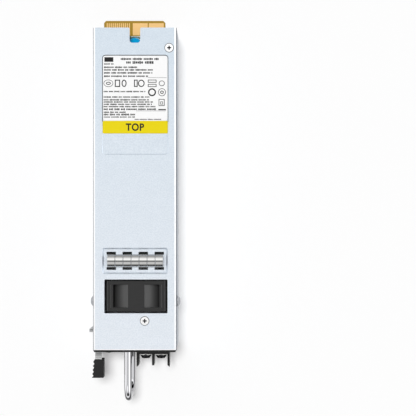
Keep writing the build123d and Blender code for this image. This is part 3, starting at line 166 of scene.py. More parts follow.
def zinc_sheet():
    finish, tree, shader = start_finish("zinc_coated_sheet", "DDE4ED", 0.5, 1.0)
    place = add_node(tree, "ShaderNodeTexCoord")
    axes = add_node(tree, "ShaderNodeSeparateXYZ", {"Vector": place.outputs["Object"]})
    slope = add_node(tree, "ShaderNodeSeparateXYZ", {"Vector": place.outputs["Normal"]})
    cloud = add_node(tree, "ShaderNodeTexNoise", {
        "Vector": place.outputs["Object"], "Scale": 1 / MOTTLE_SIZE, "Detail": 4.0})
    fine = add_node(tree, "ShaderNodeTexNoise", {
        "Vector": place.outputs["Object"], "Scale": 1 / SPECK_SIZE, "Detail": 2.0})
    mottle = add_node(tree, "ShaderNodeMapRange", {"Value": cloud.outputs["Fac"], **NOISE_SPAN})
    speck = add_node(tree, "ShaderNodeMapRange", {"Value": fine.outputs["Fac"], **SPECK_SPAN})
    # Painted light: the sheet's colour is painted lighter towards the front.
    along = add_node(tree, "ShaderNodeMapRange", {
        "Value": axes.outputs["Y"], "From Min": cover_high.y, "From Max": cover_low.y})
    soft = add_node(tree, "ShaderNodeMix", {
        "Factor": mottle.outputs["Result"], "A": linear("CFD9E2"), "B": linear("D7E0E8")},
        data_type="RGBA")
    lighter = add_node(tree, "ShaderNodeMix", {
        "Factor": along.outputs["Result"], "A": soft.outputs["Result"], "B": linear("EEF3F9")},
        data_type="RGBA")
    grained = add_node(tree, "ShaderNodeMix", {
        "Factor": speck.outputs["Result"], "A": linear("F2F4F6"), "B": linear("FFFFFF")},
        data_type="RGBA")
    sheet = add_node(tree, "ShaderNodeMix", {
        "Factor": 1.0, "A": lighter.outputs["Result"], "B": grained.outputs["Result"]},
        data_type="RGBA", blend_type="MULTIPLY")
    # Painted shade: a dark line on the outside of each bend, where the slope lies between two limits.
    steep = add_node(tree, "ShaderNodeMath", {
        0: slope.outputs["Z"], 1: BEND_SLOPES[0]}, operation="GREATER_THAN")
    shallow = add_node(tree, "ShaderNodeMath", {
        0: slope.outputs["Z"], 1: BEND_SLOPES[1]}, operation="LESS_THAN")
    painted_shade = add_node(tree, "ShaderNodeMath", {
        0: steep.outputs[0], 1: shallow.outputs[0]}, operation="MULTIPLY")
    wall = add_node(tree, "ShaderNodeMath", {
        0: slope.outputs["Z"], 1: BEND_SLOPES[0]}, operation="LESS_THAN")
    # Painted shade: the sloped edge of the labels' pocket is darkened.
    depth = add_node(tree, "ShaderNodeMath", {
        0: cover_high.z, 1: axes.outputs["Z"]}, operation="SUBTRACT")
    pocket = add_node(tree, "ShaderNodeMath", {
        0: depth.outputs[0], 1: sum(POCKET_DEPTHS) / 2, 2: (POCKET_DEPTHS[1] - POCKET_DEPTHS[0]) / 2},
        operation="COMPARE")
    across = add_node(tree, "ShaderNodeMath", {
        0: axes.outputs["X"], 1: (rating_low.x + rating_high.x) / 2,
        2: (rating_high.x - rating_low.x) / 2 + POCKET_EDGE}, operation="COMPARE")
    along_labels = add_node(tree, "ShaderNodeMath", {
        0: axes.outputs["Y"], 1: (rating_low.y + rating_high.y) / 2,
        2: (rating_high.y - rating_low.y) / 2 + POCKET_EDGE}, operation="COMPARE")
    sloped = add_node(tree, "ShaderNodeMath", {0: slope.outputs["Z"], 1: POCKET_SLOPE},
                      operation="LESS_THAN")
    for limit in (across, along_labels, sloped):
        pocket = add_node(tree, "ShaderNodeMath", {0: pocket.outputs[0], 1: limit.outputs[0]},
                          operation="MULTIPLY")
    outside = add_node(tree, "ShaderNodeMath", {0: 1.0, 1: across.outputs[0]}, operation="SUBTRACT")
    painted_shade = add_node(tree, "ShaderNodeMath", {0: painted_shade.outputs[0], 1: outside.outputs[0]},
                    operation="MULTIPLY")
    painted_shade = add_node(tree, "ShaderNodeMath", {0: painted_shade.outputs[0], 1: pocket.outputs[0]},
                    operation="MAXIMUM")
    # Painted shade: a dark ring round each flat screw's head, over the gap of its hole.
    for screw in (rear_screw, front_screw):
        reach = add_node(tree, "ShaderNodeVectorMath", {
            0: place.outputs["Object"], 1: screw}, operation="DISTANCE")
        ring = add_node(tree, "ShaderNodeMath", {
            0: reach.outputs["Value"], 1: HEAD_RADIUS + RIM_WIDTH}, operation="LESS_THAN")
        painted_shade = add_node(tree, "ShaderNodeMath", {0: painted_shade.outputs[0], 1: ring.outputs[0]},
                        operation="MAXIMUM")
    # Painted highlight: a pale band along both folds and along the front edge.
    inside_folds = add_node(tree, "ShaderNodeMath", {
        0: axes.outputs["X"], 1: (cover_low.x + cover_high.x) / 2,
        2: (cover_high.x - cover_low.x) / 2 - FOLD_BAND}, operation="COMPARE")
    behind_front = add_node(tree, "ShaderNodeMath", {
        0: axes.outputs["Y"], 1: cover_low.y + FOLD_BAND / 2}, operation="GREATER_THAN")
    plain = add_node(tree, "ShaderNodeMath", {
        0: inside_folds.outputs[0], 1: behind_front.outputs[0]}, operation="MULTIPLY")
    painted_fold_highlight = add_node(tree, "ShaderNodeMix", {
        "Factor": plain.outputs[0], "A": linear("FAFBFD"), "B": sheet.outputs["Result"]},
        data_type="RGBA")
    # Painted shade: vertical walls are given a darker grey.
    painted_wall_shade = add_node(tree, "ShaderNodeMix", {
        "Factor": wall.outputs[0], "A": painted_fold_highlight.outputs["Result"], "B": linear("A6ACB4")},
        data_type="RGBA")
    colour = add_node(tree, "ShaderNodeMix", {
        "Factor": painted_shade.outputs[0], "A": painted_wall_shade.outputs["Result"], "B": linear("3C3F45")},
        data_type="RGBA")
    rough = add_node(tree, "ShaderNodeMapRange", {
        "Value": cloud.outputs["Fac"], **NOISE_SPAN, "To Min": 0.46, "To Max": 0.54})
    bump = add_node(tree, "ShaderNodeBump", {
        "Height": fine.outputs["Fac"], "Strength": 0.25, "Distance": 0.02 * MM})
    tree.links.new(colour.outputs["Result"], shader.inputs["Base Color"])
    tree.links.new(rough.outputs["Result"], shader.inputs["Roughness"])
    tree.links.new(bump.outputs["Normal"], shader.inputs["Normal"])
    return finish


# %% [markdown]
# Springs, bars, washers and the turned pieces are metal too, but smaller and brighter. A material for
# each would repeat itself, so they share one recipe with their own colour and roughness. Its noise is
# drawn out along the direction in which the piece was rolled or drawn, so the grain runs that way. Real
# rolling marks are finer than the picture shows, so these are a few tenths of a millimetre wide.


# %% Plated and drawn metal
def plated(name, colour, roughness, grain_mm=0.3, stretch=(1, 1, 1)):
    finish, tree, shader = start_finish(name, colour, roughness, 1.0)
    place = add_node(tree, "ShaderNodeTexCoord")
    drawn = add_node(tree, "ShaderNodeMapping", {
        "Vector": place.outputs["Object"], "Scale": stretch})
    fine = add_node(tree, "ShaderNodeTexNoise", {
        "Vector": drawn.outputs["Vector"], "Scale": 1 / (grain_mm * MM), "Detail": 2.0})
    rough = add_node(tree, "ShaderNodeMapRange", {
        "Value": fine.outputs["Fac"], **NOISE_SPAN,
        "To Min": roughness * 0.85, "To Max": roughness * 1.2})
    bump = add_node(tree, "ShaderNodeBump", {
        "Height": fine.outputs["Fac"], "Strength": 0.15, "Distance": 0.01 * MM})
    tree.links.new(rough.outputs["Result"], shader.inputs["Roughness"])
    tree.links.new(bump.outputs["Normal"], shader.inputs["Normal"])
    return finish


# %% [markdown]
# The handle is chromed wire, and chrome is all reflection. Its flanks show the dark far end of the
# studio, which a scene with a white floor doesn't have, so they are painted: the colour drops where
# the surface turns steeper than the slope below. That gives the dark lines along both sides of the wire
# and round its bend. The very rim mirrors the floor again and is lighter. The bar near the floor mirrors
# less of the studio, so the chrome greys with depth. A darker studio would give the same lines, but it
# would darken the housing with them.

# %% Chromed wire
CHROME_FLANK = 0.66
CHROME_RIM = 0.42
CHROME_BLEND = 0.04
BEND_DEPTH = 5 * MM


def chromed_wire():
    finish = plated("chrome_plate", "E4E4E7", 0.04, 2.0)
    tree = finish.node_tree
    place = add_node(tree, "ShaderNodeTexCoord")
    slope = add_node(tree, "ShaderNodeSeparateXYZ", {"Vector": place.outputs["Normal"]})
    flank = add_node(tree, "ShaderNodeMapRange", {
        "Value": slope.outputs["Z"], "From Min": CHROME_FLANK - CHROME_BLEND,
        "From Max": CHROME_FLANK + CHROME_BLEND})
    axes = add_node(tree, "ShaderNodeSeparateXYZ", {"Vector": place.outputs["Object"]})
    height = add_node(tree, "ShaderNodeMapRange", {
        "Value": axes.outputs["Z"], "From Min": handle_low.z,
        "From Max": handle_high.z - BEND_DEPTH})
    crown = add_node(tree, "ShaderNodeMix", {
        "Factor": height.outputs["Result"], "A": linear("B6B6B9"), "B": linear("E4E4E7")},
        data_type="RGBA")
    rim = add_node(tree, "ShaderNodeMapRange", {
        "Value": slope.outputs["Z"], "From Min": CHROME_RIM - CHROME_BLEND,
        "From Max": CHROME_RIM + CHROME_BLEND})
    edge = add_node(tree, "ShaderNodeMix", {
        "Factor": rim.outputs["Result"], "A": linear("B0B0B3"), "B": linear("28282A")},
        data_type="RGBA")
    colour = add_node(tree, "ShaderNodeMix", {
        "Factor": flank.outputs["Result"], "A": edge.outputs["Result"], "B": crown.outputs["Result"]},
        data_type="RGBA")
    tree.links.new(colour.outputs["Result"], tree.nodes["Principled BSDF"].inputs["Base Color"])
    return finish


# %% [markdown]
# The driver's recess of a screw is deep and narrow, so hardly any light comes out of it again, and at
# this size it reads as a black cross. A deeper recess would need another solid, while a colour that
# follows the depth needs none. So the shader of the flat screws darkens just below the plane of their
# heads, and the two depths say where that starts and where it is complete.

# %% Flat screws with a dark recess
RECESS_DEPTHS = (0.05 * MM, 0.3 * MM)
TURNING_MARKS = 0.3 * MM


def recessed_screw():
    finish, tree, shader = start_finish("zinc_plated_flat_screw", "F0F1F2", 0.5, 1.0)
    place = add_node(tree, "ShaderNodeTexCoord")
    axes = add_node(tree, "ShaderNodeSeparateXYZ", {"Vector": place.outputs["Object"]})
    turned = add_node(tree, "ShaderNodeTexNoise", {
        "Vector": place.outputs["Object"], "Scale": 1 / TURNING_MARKS})
    above = add_node(tree, "ShaderNodeMapRange", {
        "Value": axes.outputs["Z"], "From Min": screws_high.z - RECESS_DEPTHS[1],
        "From Max": screws_high.z - RECESS_DEPTHS[0]})
    colour = add_node(tree, "ShaderNodeMix", {
        "Factor": above.outputs["Result"], "A": linear("2A2B2E"), "B": linear("FAFAFA")},
        data_type="RGBA")
    bump = add_node(tree, "ShaderNodeBump", {
        "Height": turned.outputs["Fac"], "Strength": 0.15, "Distance": 0.01 * MM})
    tree.links.new(colour.outputs["Result"], shader.inputs["Base Color"])
    tree.links.new(bump.outputs["Normal"], shader.inputs["Normal"])
    return finish


# %% [markdown]
# Mouldings and powder coat are dielectrics: a dark base colour under a clear reflection of the room.
# That reflection alone already lifts a black to dark grey, so the base colours here are nearly black. A
# fine bump breaks up the highlight, the way a spark-eroded mould does. Moving the surface itself would
# be truer, but at this size only the highlight could tell. A mould's texture is about a tenth of a
# millimetre wide, and it is drawn two to six times coarser, so that it shows. Sleeves, tape, dipped
# resin and the lens are wavy rather than rough, over a millimetre or so.


# %% Mouldings and coats
def moulded(name, colour, roughness, grain_mm=0.4, strength=0.3, specular=0.5):
    finish, tree, shader = start_finish(name, colour, roughness)
    shader.inputs["Specular IOR Level"].default_value = specular
    place = add_node(tree, "ShaderNodeTexCoord")
    fine = add_node(tree, "ShaderNodeTexNoise", {
        "Vector": place.outputs["Object"], "Scale": 1 / (grain_mm * MM), "Detail": 2.0})
    rough = add_node(tree, "ShaderNodeMapRange", {
        "Value": fine.outputs["Fac"], **NOISE_SPAN,
        "To Min": roughness * 0.9, "To Max": min(1.0, roughness * 1.15)})
    bump = add_node(tree, "ShaderNodeBump", {
        "Height": fine.outputs["Fac"], "Strength": strength, "Distance": 0.03 * MM})
    tree.links.new(rough.outputs["Result"], shader.inputs["Roughness"])
    tree.links.new(bump.outputs["Normal"], shader.inputs["Normal"])
    return finish


# %% [markdown]
# The fan is seen edge on through the window of the cover. Its flanges and the rib between them keep
# the black of the moulding, while the round duct between them is painted a lighter grey just under
# them: painted light, standing in for the light that reaches into the window from the sides. Two
# materials would mean splitting the mesh, and the imported meshes stay as they are. So one material
# decides by the depth below the flanges: painted light grey just under them, black further down.

# %% Fan frame
FLANGE_DEPTH = 0.15 * MM
LIT_DUCT_DEPTHS = (2 * MM, 7 * MM)


def fan_moulding():
    finish = moulded("fan_frame_moulding", "202020", 0.5, 0.6, 0.3, 0.4)
    tree = finish.node_tree
    place = add_node(tree, "ShaderNodeTexCoord")
    axes = add_node(tree, "ShaderNodeSeparateXYZ", {"Vector": place.outputs["Object"]})
    depth = add_node(tree, "ShaderNodeMath", {
        0: fan_high.z, 1: axes.outputs["Z"]}, operation="SUBTRACT")
    sunk = add_node(tree, "ShaderNodeMath", {
        0: depth.outputs[0], 1: FLANGE_DEPTH}, operation="GREATER_THAN")
    shallow = add_node(tree, "ShaderNodeMapRange", {
        "Value": depth.outputs[0], "From Min": LIT_DUCT_DEPTHS[0], "From Max": LIT_DUCT_DEPTHS[1],
        "To Min": 1.0, "To Max": 0.0})
    painted_duct_light = add_node(tree, "ShaderNodeMath", {
        0: sunk.outputs[0], 1: shallow.outputs["Result"]}, operation="MULTIPLY")
    # Painted light: the duct just under the flanges is a lighter grey, fading to black further down.
    colour = add_node(tree, "ShaderNodeMix", {
        "Factor": painted_duct_light.outputs[0], "A": linear("222222"), "B": linear("505050")},
        data_type="RGBA")
    tree.links.new(colour.outputs["Result"], tree.nodes["Principled BSDF"].inputs["Base Color"])
    return finish


# %% [markdown]
# The labels and the insulating sheet are polyester film. It has almost no texture of its own, and a
# single flat colour would look like cut paper from close by. A very faint mottle keeps it from that,
# and a satin roughness gives it the soft sheen of label stock.

# %% Label film
FILM_MOTTLE = 1.5 * MM


def label_film(name, colour, shade):
    finish, tree, shader = start_finish(name, colour, 0.45)
    place = add_node(tree, "ShaderNodeTexCoord")
    mottle = add_node(tree, "ShaderNodeTexNoise", {
        "Vector": place.outputs["Object"], "Scale": 1 / FILM_MOTTLE, "Detail": 2.0})
    mixed = add_node(tree, "ShaderNodeMix", {
        "Factor": mottle.outputs["Fac"], "A": linear(shade), "B": linear(colour)}, data_type="RGBA")
    bump = add_node(tree, "ShaderNodeBump", {
        "Height": mottle.outputs["Fac"], "Strength": 0.1, "Distance": 0.01 * MM})
    tree.links.new(mixed.outputs["Result"], shader.inputs["Base Color"])
    tree.links.new(bump.outputs["Normal"], shader.inputs["Normal"])
    return finish


# %% [markdown]
# A circuit board is glass cloth in resin under a green solder mask. Towards the contacts the mask stops
# and the bare laminate shows olive gold. The mask could be a sheet of its own, but it is thinner than
# the picture can show, so the colour simply changes at a line across the board. The cloth's weave
# repeats about every half millimetre. It is drawn three times as coarse, so that it only just shows.

# %% Board laminate
CONTACT_REACH = 9.4 * MM
MASK_EDGE_Y = card_high.y - CONTACT_REACH
WEAVE_WIDTH = 1.6 * MM


def laminate():
    finish, tree, shader = start_finish("board_laminate", "33564A", 0.4)
    shader.inputs["Specular IOR Level"].default_value = 0.3
    place = add_node(tree, "ShaderNodeTexCoord")
    weave = add_node(tree, "ShaderNodeTexWave", {
        "Vector": place.outputs["Object"], "Scale": 1 / WEAVE_WIDTH, "Distortion": 1.5,
        "Detail": 1.0})
    axes = add_node(tree, "ShaderNodeSeparateXYZ", {"Vector": place.outputs["Object"]})
    masked = add_node(tree, "ShaderNodeMix", {
        "Factor": weave.outputs["Fac"], "A": linear("2C4B41"), "B": linear("3A5D50")},
        data_type="RGBA")
    bare = add_node(tree, "ShaderNodeMix", {
        "Factor": weave.outputs["Fac"], "A": linear("9C7C26"), "B": linear("A88732")},
        data_type="RGBA")
    beyond = add_node(tree, "ShaderNodeMath", {
        0: axes.outputs["Y"], 1: MASK_EDGE_Y}, operation="GREATER_THAN")
    colour = add_node(tree, "ShaderNodeMix", {
        "Factor": beyond.outputs[0], "A": masked.outputs["Result"], "B": bare.outputs["Result"]},
        data_type="RGBA")
    bump = add_node(tree, "ShaderNodeBump", {
        "Height": weave.outputs["Fac"], "Strength": 0.1, "Distance": 0.02 * MM})
    tree.links.new(colour.outputs["Result"], shader.inputs["Base Color"])
    tree.links.new(bump.outputs["Normal"], shader.inputs["Normal"])
    return finish


# %% [markdown]
# Each solid names a slot of the record, and each slot gets one finish. Three solids are exceptions: the
# flat cover screws and the fan frame need a colour that changes with depth, and the latch's strip is
# duller than the bright contact fingers of the same steel. A table keeps all finishes in one place,
# where they are easy to compare.

# %% Finish for each slot of the record
FINISHES = {
    "zinc_sheet": zinc_sheet(),
    "black_panel": moulded("powder_coat_black", "121212", 0.55, 0.5, 0.4, 0.3),
    "screw_steel": plated("zinc_plated_screw", "AEB0B4", 0.3),
    "chrome_bar": chromed_wire(),
    "black_plastic": moulded("moulded_black", "131313", 0.5, 0.4, 0.3, 0.3),
    "lamp_lens": moulded("clear_lens", "9BA79A", 0.15, 1.0, 0.05),
    "terminal_plastic": moulded("terminal_moulding", "0F0F0F", 0.45, 0.4, 0.3, 0.35),
    "tinned_plate": plated("tin_plate", "FAFAF8", 0.25),
    "terminal_screw": plated("nickel_screw", "4A4A4C", 0.2),
    "spring_steel": plated("spring_sheet", "B9B9B8", 0.1, 0.5, (4, 0.4, 1)),
    "grip_plastic": moulded("grip_moulding", "1C1C1C", 0.6, 0.4, 0.3, 0.3),
    "white_label": label_film("white_film", "FBFBFB", "F8F8F8"),
    "yellow_label": label_film("yellow_film", "E9D50C", "E5D106"),
    "fan_plastic": moulded("fan_moulding", "202020", 0.5, 0.6, 0.3, 0.4),
    "bronze": plated("turned_brass", "C9A560", 0.3),
    "copper_winding": plated("enamelled_wire", "B4663A", 0.3, 0.7, (1, 1, 0.2)),
    "green_board": laminate(),
    "gold_contact": plated("gold_plate", "E8C083", 0.4, 0.4),
    "copper_bar": plated("copper_bar", "D48F68", 0.3),
    "insulating_film": label_film("insulating_film", "E3DCC0", "DAD2B2"),
    "can_sleeve": moulded("shrink_sleeve", "1B1B22", 0.3, 1.0, 0.1),
    "ferrite": moulded("ground_ferrite", "2C2C2E", 0.6, 0.3),
    "winding_tape": moulded("winding_tape", "E3BB2A", 0.35, 1.2, 0.1),
    "sink_aluminium": plated("extruded_aluminium", "D2D4D6", 0.38, 0.6, (1, 0.1, 1)),
    "chip_resin": moulded("chip_resin", "232326", 0.6, 0.2),
    "ceramic_tube": moulded("fuse_ceramic", "DAD8CF", 0.4),
    "blue_resin": moulded("dipped_epoxy", "009CD6", 0.4, 1.5, 0.15, 0.2),
}
slot_of = {part["node"]: part["material_slot"] for part in frame["record"]["subparts"]}
for node_name, node in nodes.items():
    for socket in node.material_slots:
        socket.material = FINISHES[slot_of[node_name]]
OWN_FINISHES = {
    "cover_screws": recessed_screw(),
    "fan_frame": fan_moulding(),
    "latch_spring": plated("satin_spring_sheet", "BFC0C0", 0.4, 0.5, (4, 0.4, 1)),
}
for node_name, finish in OWN_FINISHES.items():
    for socket in nodes[node_name].material_slots:
        socket.material = finish
print("finishes:", len(FINISHES) + len(OWN_FINISHES))

# %% [markdown]
# What the imported model doesn't have is added as pieces. A piece is a mesh in an object at the origin, so
# that its place is in the mesh itself and a pattern on object coordinates stays where it belongs. It
# rides on one body of the module.


# %% One way to add a piece
def place_piece(name, mesh, body="housing"):
    """Link a mesh at the origin as a piece of one body."""
    piece = bpy.data.objects.new(name, mesh)
    bpy.context.collection.objects.link(piece)
    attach(piece, body)


# %% [markdown]
# The black front ends in a narrow folded lip under the cover's front edge. From above it draws the dark
# line between the housing and the floor. A curve with a profile could make it, but for a straight strip
# a cube that is stretched to size and bevelled is the shorter way, and its faces already point outwards.

# %% Lip of the front panel
LIP_HEIGHT = 1.1 * MM
LIP_PROUD = 0.5 * MM
LIP_INSET = 0.5 * MM
LIP_BEVEL = 0.2 * MM

lip_mesh = bpy.data.meshes.new("panel_lip")
shaper = bmesh.new()
bmesh.ops.create_cube(shaper, size=1.0)
lip_size = (cover_high.x - cover_low.x - 2 * LIP_INSET, LIP_PROUD, LIP_HEIGHT)
lip_middle = (
    (cover_low.x + cover_high.x) / 2, panel_low.y - LIP_PROUD / 2, panel_high.z - LIP_HEIGHT / 2)
for corner in shaper.verts:
    corner.co = [middle + side * size for middle, side, size in zip(lip_middle, corner.co, lip_size)]
bmesh.ops.bevel(
    shaper, geom=list(shaper.edges), offset=LIP_BEVEL, segments=2, affect="EDGES", profile=0.5)
shaper.to_mesh(lip_mesh)
shaper.free()
lip_mesh.materials.append(FINISHES["black_panel"])
place_piece("panel_lip", lip_mesh)
print("lip faces:", len(lip_mesh.polygons))

# %% [markdown]
# Between the panel and the grip the latch shows a short tab of the same spring sheet, with ribs pressed
# across it to stiffen it. Separate bars for the ribs would have to be joined to the plate. A zigzag
# along the tab, given a width and a flat underside, makes one closed mesh instead. It lies above the
# lamp's collar, so it passes over that when the latch is pressed.

# %% Ribbed tab of the latch
TAB_REACH = (2.0 * MM, 6.0 * MM)  # its two sides, from the left side of the grip
TAB_OVERLAP = 0.3 * MM
TAB_GAP = 0.4 * MM
TAB_LEVELS = (0.58 * MM, 0.32 * MM, 0.1 * MM)  # underside, valleys and ridges, below the grip's top
RIB_COUNT = 5

tab_start, tab_end = grip_high.y - TAB_OVERLAP, panel_low.y - TAB_GAP
tab_base, tab_valley, tab_ridge = (grip_high.z - level for level in TAB_LEVELS)
tab_steps = 2 * RIB_COUNT
tab_points = []
for step in range(tab_steps + 1):
    y = tab_start + (tab_end - tab_start) * step / tab_steps
    for z in (tab_ridge if step % 2 else tab_valley, tab_base):
        tab_points += [(grip_low.x + reach, y, z) for reach in TAB_REACH]
last = 4 * tab_steps
tab_faces = [(0, 2, 3, 1), (last, last + 1, last + 3, last + 2)]
for step in range(tab_steps):
    a, b = 4 * step, 4 * step + 4
    tab_faces += [(a, a + 1, b + 1, b), (a + 2, b + 2, b + 3, a + 3),
                  (a, b, b + 2, a + 2), (a + 1, a + 3, b + 3, b + 1)]
tab_mesh = bpy.data.meshes.new("latch_tab")
tab_mesh.from_pydata(tab_points, [], tab_faces)
tab_mesh.materials.append(OWN_FINISHES["latch_spring"])
place_piece("latch_tab", tab_mesh, "latch")
print("tab faces:", len(tab_mesh.polygons))

# %% [markdown]
# The label's print is a repeat: hundreds of small marks that stand for letters. Real letters aren't
# wanted here, only their rhythm, and a picture of print would be one more file to keep. Geometry Nodes
# suits such a repeat. Each point of a small mesh is one mark, with its width and height in an attribute
# called size, and the tree puts a unit square on every point, scaled by that attribute. Realize
# Instances turns the copies into real faces at the end, and Set Material inks them.

# %% Node tree that stamps marks on points
stamp = bpy.data.node_groups.new("stamp_marks", "GeometryNodeTree")
stamp.interface.new_socket("Geometry", in_out="INPUT", socket_type="NodeSocketGeometry")
ink_socket = stamp.interface.new_socket("Ink", in_out="INPUT", socket_type="NodeSocketMaterial")
stamp.interface.new_socket("Geometry", in_out="OUTPUT", socket_type="NodeSocketGeometry")
stamp_in = add_node(stamp, "NodeGroupInput")
mark_size = add_node(stamp, "GeometryNodeInputNamedAttribute", {"Name": "size"},
                     data_type="FLOAT_VECTOR")
unit_square = add_node(stamp, "GeometryNodeMeshGrid", {
    "Size X": 1.0, "Size Y": 1.0, "Vertices X": 2, "Vertices Y": 2})
copies = add_node(stamp, "GeometryNodeInstanceOnPoints", {
    "Points": stamp_in.outputs["Geometry"], "Instance": unit_square.outputs["Mesh"],
    "Scale": mark_size.outputs["Attribute"]})
real = add_node(stamp, "GeometryNodeRealizeInstances", {"Geometry": copies.outputs["Instances"]})
inked = add_node(stamp, "GeometryNodeSetMaterial", {
    "Geometry": real.outputs["Geometry"], "Material": stamp_in.outputs["Ink"]})
add_node(stamp, "NodeGroupOutput", {"Geometry": inked.outputs["Geometry"]})
print("nodes in the stamp tree:", len(stamp.nodes))

# %% [markdown]
# Ink could be part of the label's material, but faces of their own stay crisp from any distance. They
# sit two hundredths of a millimetre over the film, so the two never fight for the same depth. The points
# that carry the marks are an object only until the tree has run: new_from_object turns its result into a
# plain mesh, which becomes the piece.

# %% Ink and the way to stamp it
INK_LIFT = 0.02 * MM
black_ink = moulded("printed_ink", "141414", 0.5, 0.3, 0.1, 0.3)
white_ink = moulded("silk_print", "E4E8E6", 0.5, 0.3, 0.1, 0.3)


def stamp_piece(name, marks, ink):
    """Stamp marks, each a centre and a size in metres, into one inked mesh."""
    mesh = bpy.data.meshes.new(name + "_points")
    mesh.from_pydata([centre for centre, size in marks], [], [])
    sizes = mesh.attributes.new("size", "FLOAT_VECTOR", "POINT")
    for entry, (centre, size) in zip(sizes.data, marks):
        entry.vector = (*size, 1)
    carrier = bpy.data.objects.new(name + "_carrier", mesh)
    bpy.context.collection.objects.link(carrier)
    modifier = carrier.modifiers.new("stamp", "NODES")
    modifier.node_group = stamp
    modifier[ink_socket.identifier] = ink
    evaluated = carrier.evaluated_get(bpy.context.evaluated_depsgraph_get())
    stamped = bpy.data.meshes.new_from_object(evaluated)
    bpy.data.objects.remove(carrier)
    place_piece(name, stamped)


# %% [markdown]
# The rows follow the photograph's layout. A row gives its start and its end from the label's left edge,
# its distance from the rear edge and its height, all in millimetres. It is cut into words and the words
# into letters of uneven width with small gaps. The sequence of random numbers starts from a fixed seed,
# so the print comes out the same on each run. The solid bars are marks too, each with its middle and its
# size.

# %% Rows of print on the white label
ROWS = (
    (0.7, 7.0, 5.0, 0.8), (10.8, 33.0, 2.0, 1.1), (14.1, 29.9, 4.1, 1.4),
    (0.7, 20.4, 7.0, 0.9), (0.7, 29.5, 8.6, 0.9), (0.7, 29.8, 10.4, 0.9), (0.7, 26.8, 12.4, 0.9),
    (0.4, 25.3, 21.7, 0.8), (0.4, 28.2, 25.0, 0.8), (0.4, 27.5, 26.7, 0.8), (0.5, 29.8, 28.0, 0.8),
    (0.5, 29.2, 29.4, 0.8), (0.4, 31.6, 30.8, 0.8), (0.4, 32.1, 32.4, 1.0), (0.5, 13.6, 34.2, 0.8),
    (0.5, 19.2, 35.6, 1.0), (0.5, 19.0, 37.1, 0.7), (19.2, 35.6, 38.5, 0.6),
)
BARS = (
    (3.6, 2.3, 5.4, 2.8), (32.8, 13.3, 11.5, 0.2), (35.8, 32.6, 4.6, 0.7), (29.0, 33.4, 18.0, 0.2),
)
PRINT_SEED = 7
PLAIN_HEIGHT = 0.9
WORD_LENGTHS = (3, 9)
LETTER_WIDTH = 0.62
LETTER_GAP = 0.14
WORD_GAP = 0.75

ink_z = rating_high.z + INK_LIFT
letters = random.Random(PRINT_SEED)
marks = []
for start, end, down, height in ROWS:
    scale = height / PLAIN_HEIGHT
    across = start
    left_in_word = letters.randint(*WORD_LENGTHS)
    while across < end:
        width = scale * LETTER_WIDTH * letters.uniform(0.7, 1.2)
        tall = height * letters.choice((0.9, 0.9, 1.15))
        marks.append((
            (rating_low.x + (across + width / 2) * MM, rating_high.y - down * MM, ink_z),
            (width * MM, tall * MM)))
        left_in_word -= 1
        across += width + scale * (LETTER_GAP if left_in_word else WORD_GAP)
        if left_in_word == 0:
            left_in_word = letters.randint(*WORD_LENGTHS)
for across, down, width, height in BARS:
    marks.append((
        (rating_low.x + across * MM, rating_high.y - down * MM, ink_z), (width * MM, height * MM)))
stamp_piece("label_rows", marks, black_ink)
print("marks of print:", len(marks))

# %% [markdown]
# Between the rows stand a few plain symbols. They are rings and frames without any meaning of their own.
# Bevelled curves could draw them, with far more faces. Here each is a flat band between an outer and an
# inner outline with the same number of corners, so four corners make a frame and forty-eight make a
# ring. A row of the table gives the middle from the label's left and rear edges, half the width, half
# the height and the stroke in millimetres, and the number of corners.

# %% Plain symbols between the rows
SYMBOLS = (
    (3.3, 16.7, 2.9, 2.2, 0.3, 48), (3.3, 16.7, 1.5, 0.9, 0.45, 48),
    (8.8, 16.7, 1.6, 2.2, 0.6, 4), (12.8, 16.7, 1.5, 2.2, 0.6, 48), (19.9, 16.7, 1.1, 2.2, 0.55, 4),
    (23.2, 16.7, 2.0, 2.2, 0.6, 48), (29.8, 15.4, 2.6, 0.9, 0.4, 4), (29.8, 18.0, 2.6, 0.9, 0.4, 4),
    (35.6, 16.7, 1.8, 1.7, 0.4, 48), (29.7, 22.1, 2.4, 2.4, 0.8, 48), (35.7, 22.1, 2.35, 2.35, 0.35, 48),
    (35.7, 22.1, 1.1, 1.0, 0.5, 48), (35.5, 28.3, 1.8, 2.1, 0.4, 4), (35.5, 28.6, 0.8, 0.9, 0.35, 4),
)
points = []
faces = []
for across, down, half_x, half_y, stroke, corners in SYMBOLS:
    first = len(points)
    corner_reach = 1 / math.cos(math.pi / corners)
    for corner in range(corners):
        angle = 2 * math.pi * (corner + 0.5) / corners
        for shrink in (0, stroke):
            points.append((
                rating_low.x + (across + (half_x - shrink) * corner_reach * math.cos(angle)) * MM,
                rating_high.y + ((half_y - shrink) * corner_reach * math.sin(angle) - down) * MM,
                ink_z))
    for corner in range(corners):
        here = first + 2 * corner
        after = first + 2 * ((corner + 1) % corners)
        faces.append((here, after, after + 1, here + 1))
symbol_mesh = bpy.data.meshes.new("label_symbols")
symbol_mesh.from_pydata(points, [], faces)
symbol_mesh.materials.append(black_ink)
place_piece("label_symbols", symbol_mesh)
print("symbols:", len(SYMBOLS))

# %% [markdown]
# The yellow label says which way up the module goes, and that word is meant to be read, so blocks won't
# do. A text object gives the letters, its offset makes them bold, and new_from_object turns the curves
# into a mesh that is then fitted to the measured width and height.

# %% The word on the yellow label
WORD_LEFT = 13.9
WORD_SIZE = (11.1, 4.6)
WORD_WEIGHT = 0.03
WORD_SPACING = 1.1

